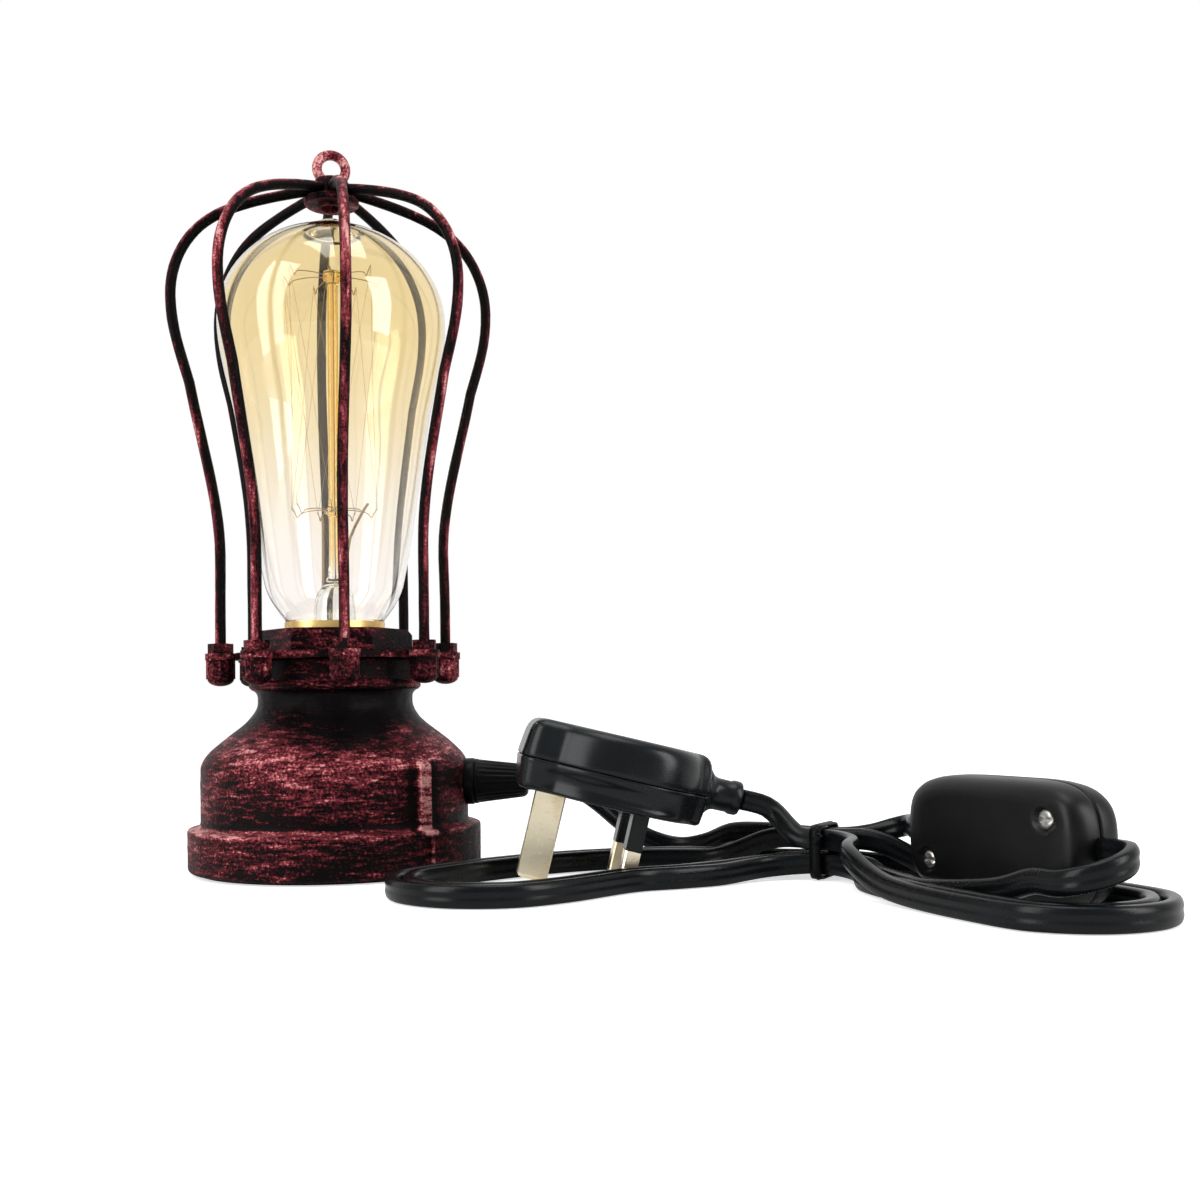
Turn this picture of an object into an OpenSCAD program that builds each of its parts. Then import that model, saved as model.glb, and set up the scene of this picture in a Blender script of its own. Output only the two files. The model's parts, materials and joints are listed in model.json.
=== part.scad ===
// Table lamp built from a cast pipe reducer, with a bent wire cage round a screw-in bulb.
// The lamp stands on z = 0 with its axis on Z. The gland points along +X, and -Y is the front.

/* [Cast reducer] */
// Radius of the bottom band
band_r = 40.5; // [39:0.5:44]
// Height of the bottom band
band_h = 12.6; // [10:0.2:16]
// Radius of the round body above the band
body_r = 36.9; // [36.5:0.1:38]
// Height at which the shoulder begins to draw in
shoulder_z = 28.5; // [27.5:0.5:31]
// Height at which the neck begins
neck_z = 47; // [46:0.5:49]
// Outer radius of the neck
neck_r = 21.5; // [21:0.1:22.5]
// Radius of the bead round the neck
bead_r = 24; // [23.6:0.1:26]
// Height of the bead
bead_h = 2.3; // [2:0.1:3.2]
// Outer radius of the mouth above the bead
mouth_r = 22.8; // [22.2:0.1:23.4]
// Height of the reducer's top rim
rim_z = 58.8; // [58:0.2:63]
// Inner radius of the body's hollow
hollow_r = 32.5; // [31:0.5:33]
// Width of the two cast ribs
rib_w = 4; // [3:0.5:6]
// How far a cast rib stands out of the body
rib_proud = 1.4; // [1:0.1:2.5]
// Direction of the front cast rib
rib_turn = -41.5; // [-50:0.5:-30]
// Top of the cast ribs
rib_top = 31; // [28:0.5:33]

/* [Foot] */
// Thickness of the soft pad under the base
pad_t = 1.2; // [1:0.1:2]
// Radius of the pad
pad_r = 37.4; // [36:0.1:38]
// Thickness of the closing plate
plate_t = 1.8; // [1.5:0.1:2.5]
// Circle on which the plate's screws sit
foot_screw_circle = 29; // [26:0.5:30]
// Shank radius of the plate's screws
foot_screw_r = 1.5; // [1.2:0.1:1.8]

/* [Flange and cage] */
// Number of cage rods and of ears on the flange
rods = 8; // [6:1:10]
// Radius of a cage rod
rod_r = 1.45; // [1.2:0.05:1.7]
// Circle on which the rods' feet stand
foot_circle = 31.4; // [30.5:0.1:33]
// Thickness of the flange plate
flange_t = 1.9; // [1.5:0.1:3]
// Radius of the flange plate between its ears
flange_r = 27.6; // [27:0.2:28.5]
// Radius of an ear
ear_r = 4.2; // [3.8:0.1:4.6]
// Turn of the first rod from +X
rod_turn = 15; // [10:1:20]
// Height up to which the rods stand straight
rod_straight_z = 88; // [80:1:94]
// Radius of the cage at its belly
belly_r = 44.5; // [42:0.5:48]
// Height of the cage's belly
belly_z = 160; // [156:1:166]
// Width across flats of the small hex nuts
nut_af = 6; // [5.5:0.1:6.5]
// Height of the small hex nuts
nut_h = 2.7; // [2.1:0.1:3.2]
// Radius of the domed cap nuts
cap_nut_r = 3.95; // [3.5:0.05:4.2]
// Height of the domed cap nuts
cap_nut_h = 7.2; // [6.6:0.2:8.6]

/* [Hub and eye] */
// Height of the underside of the hub's disc
hub_z = 188.6; // [187:0.2:192]
// Radius of the hub's disc
hub_r = 7.75; // [7:0.25:9]
// Thickness of the hub's disc
hub_t = 2; // [1.6:0.2:3]
// Radius of the boss that holds the rods
boss_r = 5; // [4.6:0.1:5.5]
// Height of the boss above the disc
boss_h = 5.7; // [5.3:0.1:7]
// Radius of the hole in the hub's underside
hub_hole_r = 3.1; // [2.9:0.1:3.4]
// Radius of the eye's wire
eye_wire_r = 1.4; // [1.2:0.1:1.6]
// Radius of the eye's centre line
eye_r = 4.05; // [3.8:0.05:4.6]
// Turn of the eye's plane from the X axis
eye_turn = 18; // [0:1:40]
// Radius of the eye's screwed shank
shank_r = 2.4; // [2:0.1:2.6]

/* [Lampholder] */
// Width across flats of the hex bush
hex_af = 37.5; // [37:0.5:40]
// Height of the hex bush's head
hex_h = 6.4; // [5.6:0.1:8]
// Turn of the hex bush's flats
hex_turn = 8; // [0:1:30]
// Outer radius of the hex bush's screwed shank
bush_r = 16.6; // [16.4:0.1:17]
// Outer radius of the holder's insulating body
holder_r = 15; // [14.9:0.05:15.2]
// Inside radius of the holder's screw shell
shell_in_r = 13.4; // [13.35:0.05:13.6]
// Wall of the holder's screw shell
shell_t = 0.4; // [0.3:0.05:0.5]
// Wall of the holder's floor
holder_floor_t = 3.4; // [2.5:0.1:4]
// Rise of the bulb as it turns once
screw_pitch = 3.62; // [3.5:0.01:3.7]

/* [Bulb] */
// Largest radius of the glass
glass_r = 32; // [28:0.5:32.5]
// Height of the glass's widest point
glass_belly_z = 154.5; // [150:0.5:156]
// Height of the crown above the widest point
crown_h = 28; // [26:0.5:28.5]
// Wall of the glass
glass_t = 0.8; // [0.6:0.1:1.2]
// Radius of the sealing nipple
nipple_r = 6.3; // [5:0.1:7]
// Top of the sealing nipple above the crown
nipple_h = 2; // [1.5:0.1:2.3]
// Radius of the bulb cap's threads
cap_r = 13.1; // [12.9:0.05:13.2]
// Radius of the bulb cap's skirt
skirt_r = 14; // [13.8:0.1:14.6]
// Overall length of the bulb's cap
cap_len = 27; // [26:0.5:28]
// Radius of the glass rod inside the bulb
stem_rod_r = 1.6; // [1.2:0.1:2]

/* [Cord] */
// Thickness of the flat cord
cord_t = 3.4; // [3:0.1:3.6]
// Width of the flat cord
cord_w = 5.4; // [5:0.1:5.6]
// Height of the gland's axis
gland_z = 24; // [22:0.5:25]
// Radius of the gland at the lamp
gland_r = 6.15; // [5.8:0.05:6.4]
// Radius of the gland at its tip
gland_tip_r = 4.55; // [4.2:0.05:5]
// Length of the gland outside the lamp
gland_len = 17.8; // [16:0.1:20]

/* [Cord switch] */
// Length of the switch
switch_len = 57; // [55:1:58]
// Height of the switch as it stands on edge
switch_h = 28; // [26:0.5:30]
// Thickness of the switch
switch_t = 15; // [14:0.5:15.5]
// Wall of the switch's shells
switch_wall = 1.6; // [1.2:0.1:2]
// Length of the rocker
rocker_len = 17; // [15:0.5:19]
// Width of the rocker
rocker_w = 11; // [9:0.5:12]
// Tilt of the rocker to each side
rocker_tilt = 7; // [5:0.5:9]

/* [Plug] */
// Length of the plug's body
plug_len = 49; // [47:1:50]
// Width of the plug's body
plug_w = 46; // [44:1:48]
// Thickness of the plug's body
plug_t = 18; // [17:0.5:20]
// Length of the two line pins
line_pin_len = 17.7; // [17.5:0.1:18]
// Length of the earth pin
earth_pin_len = 22.73; // [22.5:0.01:23]
// Distance from the earth pin to the row of line pins
pin_row = 22.23; // [22.1:0.01:22.3]
// Distance between the two line pins
pin_gap = 22.23; // [22.1:0.01:22.3]
// Travel of the fuse carrier
fuse_travel = 10; // [8:0.5:11]

/* [Hidden] */

$fn = 48;
fit = 0.05;
clear = 0.3;

band_round = 1.3;
bead_z = neck_z + 3.4;
foot_gap = 0.6;
recess_z = pad_t + plate_t;
hollow_floor = recess_z;
bush_gap = 0.05;
foot_screws = 3;
lug_r = 3.6;
lug_h = 8;
gland_root = body_r - 0.5;
gland_seat = hollow_r - 0.6;
gland_bore = 5.9;

flange_z = rim_z;
hex_z = flange_z + flange_t;
hex_top = hex_z + hex_h;
bush_bottom = rim_z - 12;
counterbore_r = holder_r + 1.8;
counterbore_d = 2;
rod_hole_r = rod_r + fit;
rod_foot_z = flange_z - cap_nut_h + 1.4;
hub_top = hub_z + hub_t + boss_h;
rod_end_r = boss_r - 1.8;
rod_rise = 11.5;
rod_end_z = hub_z + hub_t + boss_h / 2 - 0.3;
shank_bottom = hub_z + hub_t + 0.5;
eye_z = hub_top + 3;

skirt_z = hex_top + 0.2;
skirt_h = 2;
glass_neck_z = skirt_z + skirt_h;
tip_z = glass_neck_z - cap_len;
holder_top = hex_top - 0.4;
holder_in_r = shell_in_r + shell_t + fit;
floor_z = tip_z - 3;
contact_root_t = 0.5;
contact_w = 6;
terminal_x = 8.4;
shell_bottom = floor_z + 2.6;
nipple_z = glass_belly_z + crown_h + nipple_h;
stub_h = skirt_h - 0.3;
filament_turns = 12;
filament_r = 0.2;
lead_wire_r = 0.4;
press_z = glass_neck_z + 12;
lower_button_z = glass_neck_z + 31;
upper_button_z = glass_neck_z + 97.5;

// The cord lies on edge, its wide side upright
lane = cord_t + 1.1;
low_z = cord_w / 2;
high_z = low_z + cord_w + 0.65;
tie_lift = 1.3;
tie_x = 132;
tie_y = -36;
tie_dir = -28;
right_bend_r = 52;
right_bend_len = 34;
left_bend_r = 62;
left_bend_len = 84;
left_end = -95;
right_end = 84;
turn_rise = cord_w + 0.6;
switch_start = 31;
hank_step = 4.2;
lobe_left = 20;
lobe_right = switch_t / 2 + cord_t / 2 + 1.8;
turn_back = 16.5;
left_taper = 42;
right_taper = 40;
plug_lead = 22;
// Rows: lane at the tie, layer at the tie, offset in the left lobe, offset in the right lobe, share of the taper,
// and where a top row begins to come down and over what length
near_1 = [0, 0, -lobe_left, -turn_back, 1, 0, 1];
near_2 = [-1, 0, -lobe_left - hank_step, -turn_back - hank_step, 0.87, 0, 1];
near_3 = [-1, 1, -3, -turn_back - 2 * hank_step, 0.8, 27, 30];
far_1 = [0, 1, lobe_left, lobe_right, 0.88, 13, 14];
far_2 = [1, 0, lobe_left + hank_step, lobe_right + hank_step, 0.8, 0, 1];
// Stations along a run, in millimetres from the tie
run_stations = [-66, -46, -29, -15, -4, 4, 14, 28, 50];
cap_steps = 5;

// Free bend of the cord between the gland and the tie
lead_bend = [
    [67, 0.6, 22.2], [74, 2.8, 17.4], [81, 5.6, 11.2], [88.5, 7.4, 6.4], [97, 5.8, 4.2], [104.5, 0.2, 5.8],
    [111, -7.6, 9.2], [117.4, -16, 10.1], [124, -23.8, 10.2]
];
// Free rise of the cord from the tie into the switch: distance short of it, offset, and height from its middle
lead_rise = [[-21, 6, -3], [-17, 7.4, -1.6], [-13.4, 7.8, -0.5], [-10.4, 6, 0], [-7.6, 2.8, 0]];
terminal_z = floor_z - holder_floor_t - 4.6;
core_route = [
    [28, 0, gland_z], [25.5, 0, gland_z], [20, 1.6, gland_z + 0.6], [15, 4, gland_z + 2.5], [11, 5.6, terminal_z - 2.4],
    [9, 5.6, terminal_z + 0.8], [terminal_x, 4.4, terminal_z + 2.3], [terminal_x, 0, terminal_z + 2.3]
];

line_pin_a = plug_len - 16.6;
earth_pin_a = line_pin_a - pin_row;
pin_thick = 4;
line_pin_wide = 6.35;
earth_pin_wide = 7.9;
sleeve_len = 9.4;
relief_len = 9.5;
plug_dir = 186;
plug_split = 8;
carrier_l = 28;
carrier_w = 8.6;
carrier_a = (earth_pin_a + line_pin_a) / 2 + 1.2;
carrier_d = 10;
fuse_r = 3.15;
fuse_l = 25.2;

function smooth(u) = let (v = min(max(u, 0), 1)) v * v * (3 - 2 * v);
function unit(v) = v / norm(v);
function bezier(a, b, c, d, n, first = 0) =
    [for (i = [first:n]) let (t = i / n, s = 1 - t) s * s * s * a + 3 * s * s * t * b + 3 * s * t * t * c + t * t * t * d];
function arc(cx, cy, r, a0, a1, n) =
    [for (i = [0:n]) let (a = a0 + (a1 - a0) * i / n) [cx + r * cos(a), cy + r * sin(a)]];
function rounded_box(w, h, r, n = 5) = concat(
    arc(w / 2 - r, h / 2 - r, r, 0, 90, n),
    arc(-w / 2 + r, h / 2 - r, r, 90, 180, n),
    arc(-w / 2 + r, -h / 2 + r, r, 180, 270, n),
    arc(w / 2 - r, -h / 2 + r, r, 270, 360, n));

// Rings of a swept tube: each ring stands square to the route at its point
function heading(p, i) = unit(p[min(i + 1, len(p) - 1)] - p[max(i - 1, 0)]);
function ring(p, i, outline, up) =
    let (d = heading(p, i), side = unit(cross(up, d)), top = cross(d, side))
    [for (q = outline) p[i] + side * q[0] + top * q[1]];
module sweep(path, outline, up = [0, 0, 1]) {
    n = len(outline);
    m = len(path);
    points = [for (i = [0:m - 1]) each ring(path, i, outline, up)];
    walls = [for (i = [0:m - 2]) for (j = [0:n - 1]) let (k = (j + 1) % n)
        each [[i * n + j, (i + 1) * n + j, i * n + k], [(i + 1) * n + j, (i + 1) * n + k, i * n + k]]];
    start = [for (j = [1:n - 2]) [0, j, j + 1]];
    end = [for (j = [1:n - 2]) [(m - 1) * n, (m - 1) * n + j + 1, (m - 1) * n + j]];
    polyhedron(points, concat(walls, start, end));
}
function round_outline(r, n) = [for (i = [0:n - 1]) [r * cos(360 * i / n), r * sin(360 * i / n)]];
cord_outline = [
    [0, cord_w / 2], [-cord_t / 2, cord_w * 0.3], [-cord_t / 2, -cord_w * 0.3],
    [0, -cord_w / 2], [cord_t / 2, -cord_w * 0.3], [cord_t / 2, cord_w * 0.3]];
flat_outline = rounded_box(cord_t, cord_w, cord_t / 2 - 0.01, 2);

// Outer wall of the reducer, from the foot up to the rim
function shoulder(n) = [for (i = [0:n]) let (u = i / n)
    [neck_r + (body_r - neck_r) * (1 + cos(180 * u)) / 2, shoulder_z + (neck_z - shoulder_z) * u]];
reducer_wall = concat(
    arc(band_r - band_round, foot_gap + band_round, band_round, -90, 0, 4),
    [[band_r, band_h - 0.8], [band_r - 0.4, band_h]],
    [for (p = arc(body_r + 1.9, band_h + 2.1, 1.9, -90, -180, 4)) [p[0], p[1] - 0.1]],
    shoulder(12),
    arc(neck_r + 2.2, bead_z - 2.2, 2.2, 180, 90, 4),
    arc(bead_r - 0.7, bead_z + 0.7, 0.7, -90, 0, 3),
    arc(bead_r - 0.7, bead_z + bead_h - 0.7, 0.7, 0, 90, 3),
    [[mouth_r, bead_z + bead_h], [mouth_r, rim_z - 0.6], [mouth_r - 0.6, rim_z]]);

module base_pad() {
    color("#1c1a1a") cylinder(h = pad_t, r = pad_r);
}
module foot_screw_places() {
    for (i = [0:foot_screws - 1]) rotate(60 + 360 * i / foot_screws) translate([foot_screw_circle, 0, 0]) children();
}
module base_plate() {
    color("#3a3637") difference() {
        translate([0, 0, pad_t]) cylinder(h = plate_t, r = pad_r);
        foot_screw_places() {
            cylinder(h = recess_z + 1, r = foot_screw_r + fit);
            translate([0, 0, pad_t - 0.01]) cylinder(h = 1.21, r1 = foot_screw_r + 1.3, r2 = foot_screw_r + fit);
        }
    }
}
module base_screws() {
    color("#8a8585") foot_screw_places() {
        translate([0, 0, pad_t]) cylinder(h = 1.2, r1 = foot_screw_r + 1.2, r2 = foot_screw_r);
        translate([0, 0, pad_t + 1.2]) cylinder(h = 6.5, r = foot_screw_r);
    }
}
module cast_rib(turn) {
    rotate(turn) translate([body_r - 2.4, -rib_w / 2, band_h - 1]) difference() {
        cube([2.4 + rib_proud, rib_w, rib_top - band_h + 1]);
        translate([2.4 + rib_proud, -1, rib_top - band_h + 1 - 2.4]) rotate([0, -35, 0]) cube([4, rib_w + 2, 6]);
    }
    rotate(turn) translate([band_r - 1.2, -0.45, foot_gap + 1.6]) cube([1.5, 0.9, band_h - foot_gap - 2.8]);
}
module reducer_body() {
    color("#5b2027") difference() {
        union() {
            rotate_extrude() polygon(concat([[0, foot_gap]], reducer_wall, [[0, rim_z]]));
            cast_rib(rib_turn);
            cast_rib(rib_turn + 180);
        }
        translate([0, 0, -1]) cylinder(h = recess_z + 1, r = pad_r + clear);
        difference() {
            rotate_extrude() polygon([
                [0, hollow_floor - 0.01], [hollow_r, hollow_floor - 0.01], [hollow_r, shoulder_z - 0.5],
                [bush_r + bush_gap, neck_z - 0.6], [bush_r + bush_gap, rim_z + 1], [0, rim_z + 1]]);
            foot_screw_places() translate([0, 0, hollow_floor - 1]) cylinder(h = lug_h + 1, r = lug_r);
        }
        foot_screw_places() cylinder(h = recess_z + lug_h - 1, r = foot_screw_r + fit);
        translate([0, 0, gland_z]) rotate([0, 90, 0]) cylinder(h = body_r + 5, r = gland_bore + fit);
        translate([gland_root, 0, gland_z]) rotate([0, 90, 0]) cylinder(h = 9, r = gland_r + 0.4);
        translate([gland_seat - 4, 0, gland_z]) rotate([0, 90, 0]) cylinder(h = 4, r = 9.4);
    }
}

module rod_places() {
    for (i = [0:rods - 1]) rotate(rod_turn + 360 * i / rods) translate([foot_circle, 0, 0]) children();
}
module flange_plate() {
    color("#6a262d") difference() {
        translate([0, 0, flange_z]) union() {
            cylinder(h = flange_t, r = flange_r);
            rod_places() cylinder(h = flange_t, r = ear_r);
        }
        translate([0, 0, flange_z - 1]) cylinder(h = flange_t + 2, r = bush_r + fit);
        rod_places() translate([0, 0, flange_z - 1]) cylinder(h = flange_t + 2, r = rod_hole_r);
    }
}
module hex_bush() {
    color("#4c1b21") rotate(hex_turn) difference() {
        union() {
            translate([0, 0, hex_z]) intersection() {
                cylinder(h = hex_h, r = hex_af / 2 / cos(30), $fn = 6);
                cylinder(h = hex_h, r1 = hex_af / 2 / cos(30) + 4, r2 = hex_af / 2 + 1.6);
            }
            translate([0, 0, bush_bottom]) cylinder(h = hex_z - bush_bottom, r = bush_r);
        }
        translate([0, 0, bush_bottom - 1]) cylinder(h = hex_top - bush_bottom + 2, r = holder_r + fit);
        translate([0, 0, hex_top - counterbore_d]) cylinder(h = counterbore_d + 1, r = counterbore_r + fit);
    }
}

// Centre line of a cage rod in its own upright plane, from the foot to the hub
belly_low = [belly_r - 5, belly_z - 24];
shoulder_rod = [foot_circle, rod_end_z - 9.2];
rod_line = concat(
    [[foot_circle, rod_foot_z], [foot_circle, flange_z + flange_t + nut_h]],
    bezier([foot_circle, rod_straight_z], [foot_circle, rod_straight_z + 17], [belly_low[0] - 3.3, belly_low[1] - 16],
        belly_low, 5),
    bezier(belly_low, belly_low + [2.7, 9], [belly_r, belly_z - 9], [belly_r, belly_z], 3, 1),
    bezier([belly_r, belly_z], [belly_r, belly_z + 10], shoulder_rod + [8.1, -4.9], shoulder_rod, 6, 1),
    bezier(shoulder_rod, shoulder_rod + [-6.4, 3.9], [14, rod_end_z - 11 * tan(rod_rise)],
        [rod_end_r, rod_end_z], 5, 1));
module cage_rod(i) {
    color("#571d25") rotate(rod_turn + 360 * (i - 1) / rods)
        sweep([for (p = rod_line) [p[0], 0, p[1]]], round_outline(rod_r, 10), [0, 1, 0]);
}
module rod_nuts() {
    color("#7a3038") rod_places() translate([0, 0, hex_z]) difference() {
        cylinder(h = nut_h, r = nut_af / 2 / cos(30), $fn = 6);
        translate([0, 0, -1]) cylinder(h = nut_h + 2, r = rod_hole_r);
    }
}
knurl = [for (i = [0:23]) let (r = cap_nut_r - (i % 2 == 0 ? 0 : 0.35)) [r * cos(15 * i), r * sin(15 * i)]];
module cap_nuts() {
    dome = cap_nut_r - 0.35;
    color("#6a262d") rod_places() translate([0, 0, flange_z - cap_nut_h]) difference() {
        union() {
            translate([0, 0, dome * 0.55]) linear_extrude(cap_nut_h - dome * 0.55) polygon(knurl);
            rotate_extrude() polygon(concat([[0, dome * 0.55]], [[dome, dome * 0.55]],
                [for (a = [15:15:90]) [dome * cos(a), dome * 0.55 * (1 - sin(a))]]));
        }
        translate([0, 0, rod_foot_z - flange_z + cap_nut_h - clear]) cylinder(h = cap_nut_h, r = rod_hole_r);
    }
}
module cage_hub() {
    color("#5b2027") difference() {
        union() {
            rotate_extrude() polygon(concat(
                [[0, hub_z - 0.8], [hub_hole_r + 0.75, hub_z - 0.8], [hub_hole_r + 0.75, hub_z], [hub_r - 0.4, hub_z]],
                [[hub_r, hub_z + 0.4], [hub_r, hub_z + hub_t - 0.5], [hub_r - 0.5, hub_z + hub_t]],
                [[boss_r, hub_z + hub_t]],
                arc(boss_r - 1.6, hub_top - 1.6, 1.6, 0, 90, 4),
                [[0, hub_top]]));
        }
        translate([0, 0, hub_z - 1]) cylinder(h = shank_bottom - hub_z + 1, r = hub_hole_r);
        cylinder(h = hub_top + 1, r = shank_r + fit);
        eye_loop(eye_wire_r + 0.08);
        rod_sockets();
    }
}
module rod_sockets() {
    for (i = [0:rods - 1]) rotate(rod_turn + 360 * i / rods)
        translate([rod_end_r, 0, rod_end_z]) rotate([0, 90 + rod_rise, 0])
            translate([0, 0, -0.2]) cylinder(h = 8, r = rod_r + 0.16);
}
module eye_loop(wire_r) {
    translate([0, 0, eye_z]) rotate([90, 0, eye_turn])
        rotate_extrude() translate([eye_r, 0]) circle(r = wire_r, $fn = 24);
}
module eye_ring() {
    color("#a3545b") union() {
        eye_loop(eye_wire_r);
        translate([0, 0, shank_bottom]) cylinder(h = hub_top - shank_bottom, r = shank_r);
    }
}

module holder_body() {
    color("#e8e2d4") difference() {
        union() {
            translate([0, 0, floor_z - holder_floor_t]) cylinder(h = holder_top - floor_z + holder_floor_t, r = holder_r);
            translate([0, 0, holder_top - 1.5]) cylinder(h = 1.5, r = counterbore_r);
        }
        translate([0, 0, floor_z]) cylinder(h = holder_top - floor_z + 1, r = holder_in_r);
        for (x = [-terminal_x, terminal_x])
            translate([x, 0, floor_z - holder_floor_t - 1]) cylinder(h = holder_floor_t + 2, r = 1.3);
    }
}
module holder_lock_ring() {
    color("#b98a3e") translate([0, 0, bush_bottom - 3.2]) difference() {
        cylinder(h = 3.2, r = bush_r - 0.3);
        translate([0, 0, -1]) cylinder(h = 6, r = holder_r + fit);
    }
}
module screw_shell() {
    color("#c99a45") difference() {
        union() {
            translate([0, 0, floor_z]) cylinder(h = holder_top - 1 - floor_z, r = shell_in_r + shell_t);
            translate([terminal_x, 0, floor_z - holder_floor_t]) cylinder(h = holder_floor_t, r = 1.1);
        }
        translate([0, 0, shell_bottom - 1.6]) cylinder(h = holder_top, r = shell_in_r);
        translate([0, 0, floor_z - 1]) cylinder(h = 4, r = 7);
        translate([-terminal_x, 0, floor_z - 1]) cylinder(h = 4, r = 2.6);
        translate([-terminal_x - 8, -4, floor_z - 1]) cube([12, 8, 3]);
    }
}
module centre_contact() {
    color("#d8ab52") translate([0, contact_w / 2, 0]) rotate([90, 0, 0]) linear_extrude(contact_w)
        polygon([
            [-10.4, floor_z], [-5.2, floor_z], [-1.6, tip_z - 0.5], [1.6, tip_z - 0.5], [3.6, tip_z - 1.7],
            [3.9, tip_z - 1.2], [2, tip_z], [-2, tip_z], [-5.7, floor_z + contact_root_t],
            [-10.4, floor_z + contact_root_t]]);
}
module terminal_blocks() {
    color("#c99a45") for (x = [-terminal_x, terminal_x])
        translate([x, 0, terminal_z]) difference() {
            translate([-2.6, -3.2, 0]) cube([5.2, 6.4, 4.6]);
            translate([0, 0, -1]) cylinder(h = 3.4, r = 1.25 + fit);
            translate([0, -4, 2.3]) rotate([-90, 0, 0]) cylinder(h = 8, r = 1.2);
        }
}
module terminal_screws() {
    color("#9d9a96") for (x = [-terminal_x, terminal_x]) translate([x, 0, terminal_z]) {
        translate([0, 0, -1.5]) cylinder(h = 1.5, r = 2.1);
        cylinder(h = 1, r = 1.25);
    }
}

// Outline of the glass from the neck to the nipple, and its wall
function glass_outline(inset) = let (r = glass_r - inset, b = glass_belly_z, n = glass_neck_z, h = b - n)
    concat(
        bezier([skirt_r - 0.4 - inset, n], [skirt_r + 1.2 - inset, n + 0.03 * h], [0.57 * glass_r - inset, n + 0.07 * h],
            [0.603 * glass_r - inset, n + 0.122 * h], 5),
        bezier([0.603 * glass_r - inset, n + 0.122 * h], [0.672 * glass_r - inset, n + 0.235 * h],
            [0.756 * glass_r - inset, n + 0.46 * h], [0.847 * glass_r - inset, n + 0.676 * h], 6, 1),
        bezier([0.847 * glass_r - inset, n + 0.676 * h], [0.906 * glass_r - inset, n + 0.792 * h],
            [r, n + 0.893 * h], [r, b], 5, 1),
        [for (a = [7.5:7.5:75]) [r * cos(a), b + (crown_h - inset) * sin(a)]]);
nipple_dome = [for (a = [0:22.5:90])
    [nipple_r * cos(a), nipple_z - 3.4 + 3.4 * sin(a)]];
module bulb_glass() {
    inner = glass_outline(glass_t);
    color("#e8b45c", 0.5) rotate_extrude() polygon(concat(
        [[skirt_r - 0.4 - glass_t, glass_neck_z - stub_h]], [[skirt_r - 0.4, glass_neck_z - stub_h]],
        glass_outline(0), nipple_dome,
        [[0, glass_belly_z + crown_h - glass_t]],
        [for (i = [len(inner) - 1:-1:0]) inner[i]]));
}
module bulb_cap() {
    ridges = 5;
    low = tip_z + 4.4;
    pitch = (skirt_z - 1.6 - low) / ridges;
    color("#c9973a") rotate_extrude() polygon(concat(
        [[cap_r - 2.2, low - 1.4], [cap_r - 1.2, low - 1.4], [cap_r - 0.9, low]],
        [for (i = [0:ridges - 1]) each
            [[cap_r, low + (i + 0.35) * pitch], [cap_r, low + (i + 0.65) * pitch], [cap_r - 0.9, low + (i + 1) * pitch]]],
        [[cap_r - 0.9, skirt_z - 1.2], [cap_r, skirt_z - 0.6], [skirt_r, skirt_z], [skirt_r, glass_neck_z]],
        [[skirt_r - 0.4 + fit, glass_neck_z], [skirt_r - 0.4 + fit, skirt_z - 0.2], [cap_r - 1.4, skirt_z - 1],
            [cap_r - 1.4, low - 0.8], [cap_r - 2.2, low - 0.8]]));
}
module bulb_insulator() {
    color("#17151a") rotate_extrude() polygon([
        [0, tip_z + 1], [4.7, tip_z + 1], [cap_r - 2.6, tip_z + 3], [cap_r - 2.25, tip_z + 4.6], [0, tip_z + 4.6]]);
}
module bulb_tip() {
    color("#b9b4a6") rotate_extrude() polygon([[0, tip_z], [2.6, tip_z], [4.4, tip_z + 0.5], [4.4, tip_z + 1], [0, tip_z + 1]]);
}
module bulb_stem() {
    flare_r = skirt_r - 0.4 - glass_t - fit;
    color("#dfe8e6", 0.6) rotate_extrude() polygon([
        [0, press_z - 7], [3.6, press_z - 9], [flare_r - 3, glass_neck_z - stub_h],
        [flare_r, glass_neck_z - stub_h], [flare_r, glass_neck_z - stub_h + 0.8],
        [flare_r - 2.6, glass_neck_z - stub_h + 1], [4.8, press_z - 9], [3.2, press_z - 4], [2.2, press_z],
        [stem_rod_r, press_z + 3], [stem_rod_r, upper_button_z], [button_r, upper_button_z + 0.6],
        [button_r, upper_button_z + 2.2], [1.2, upper_button_z + 3], [0, upper_button_z + 3]]);
}
button_r = 2.4;
module hook_row(z, rows, start, reach, dip) {
    for (i = [0:rows - 1]) rotate(360 * i / rows + 20)
        sweep([[start, 0, z], [reach * 0.6, 0, z + 0.6], [reach, 0, z + 0.2],
            [reach + 0.8, 0, z + dip], [reach + 1.8, 0, z + dip * 0.3]], round_outline(0.28, 6), [0, 1, 0]);
}
module bulb_hooks() {
    color("#6b6256") {
        translate([0, 0, lower_button_z]) difference() {
            cylinder(h = 1.4, r = 2.9);
            translate([0, 0, -1]) cylinder(h = 4, r = stem_rod_r + fit);
        }
        hook_row(upper_button_z + 1.4, 7, button_r + 0.05, 12, 1.6);
        hook_row(lower_button_z + 0.7, 7, stem_rod_r + 0.3, 10, 1.6);
    }
}
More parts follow.
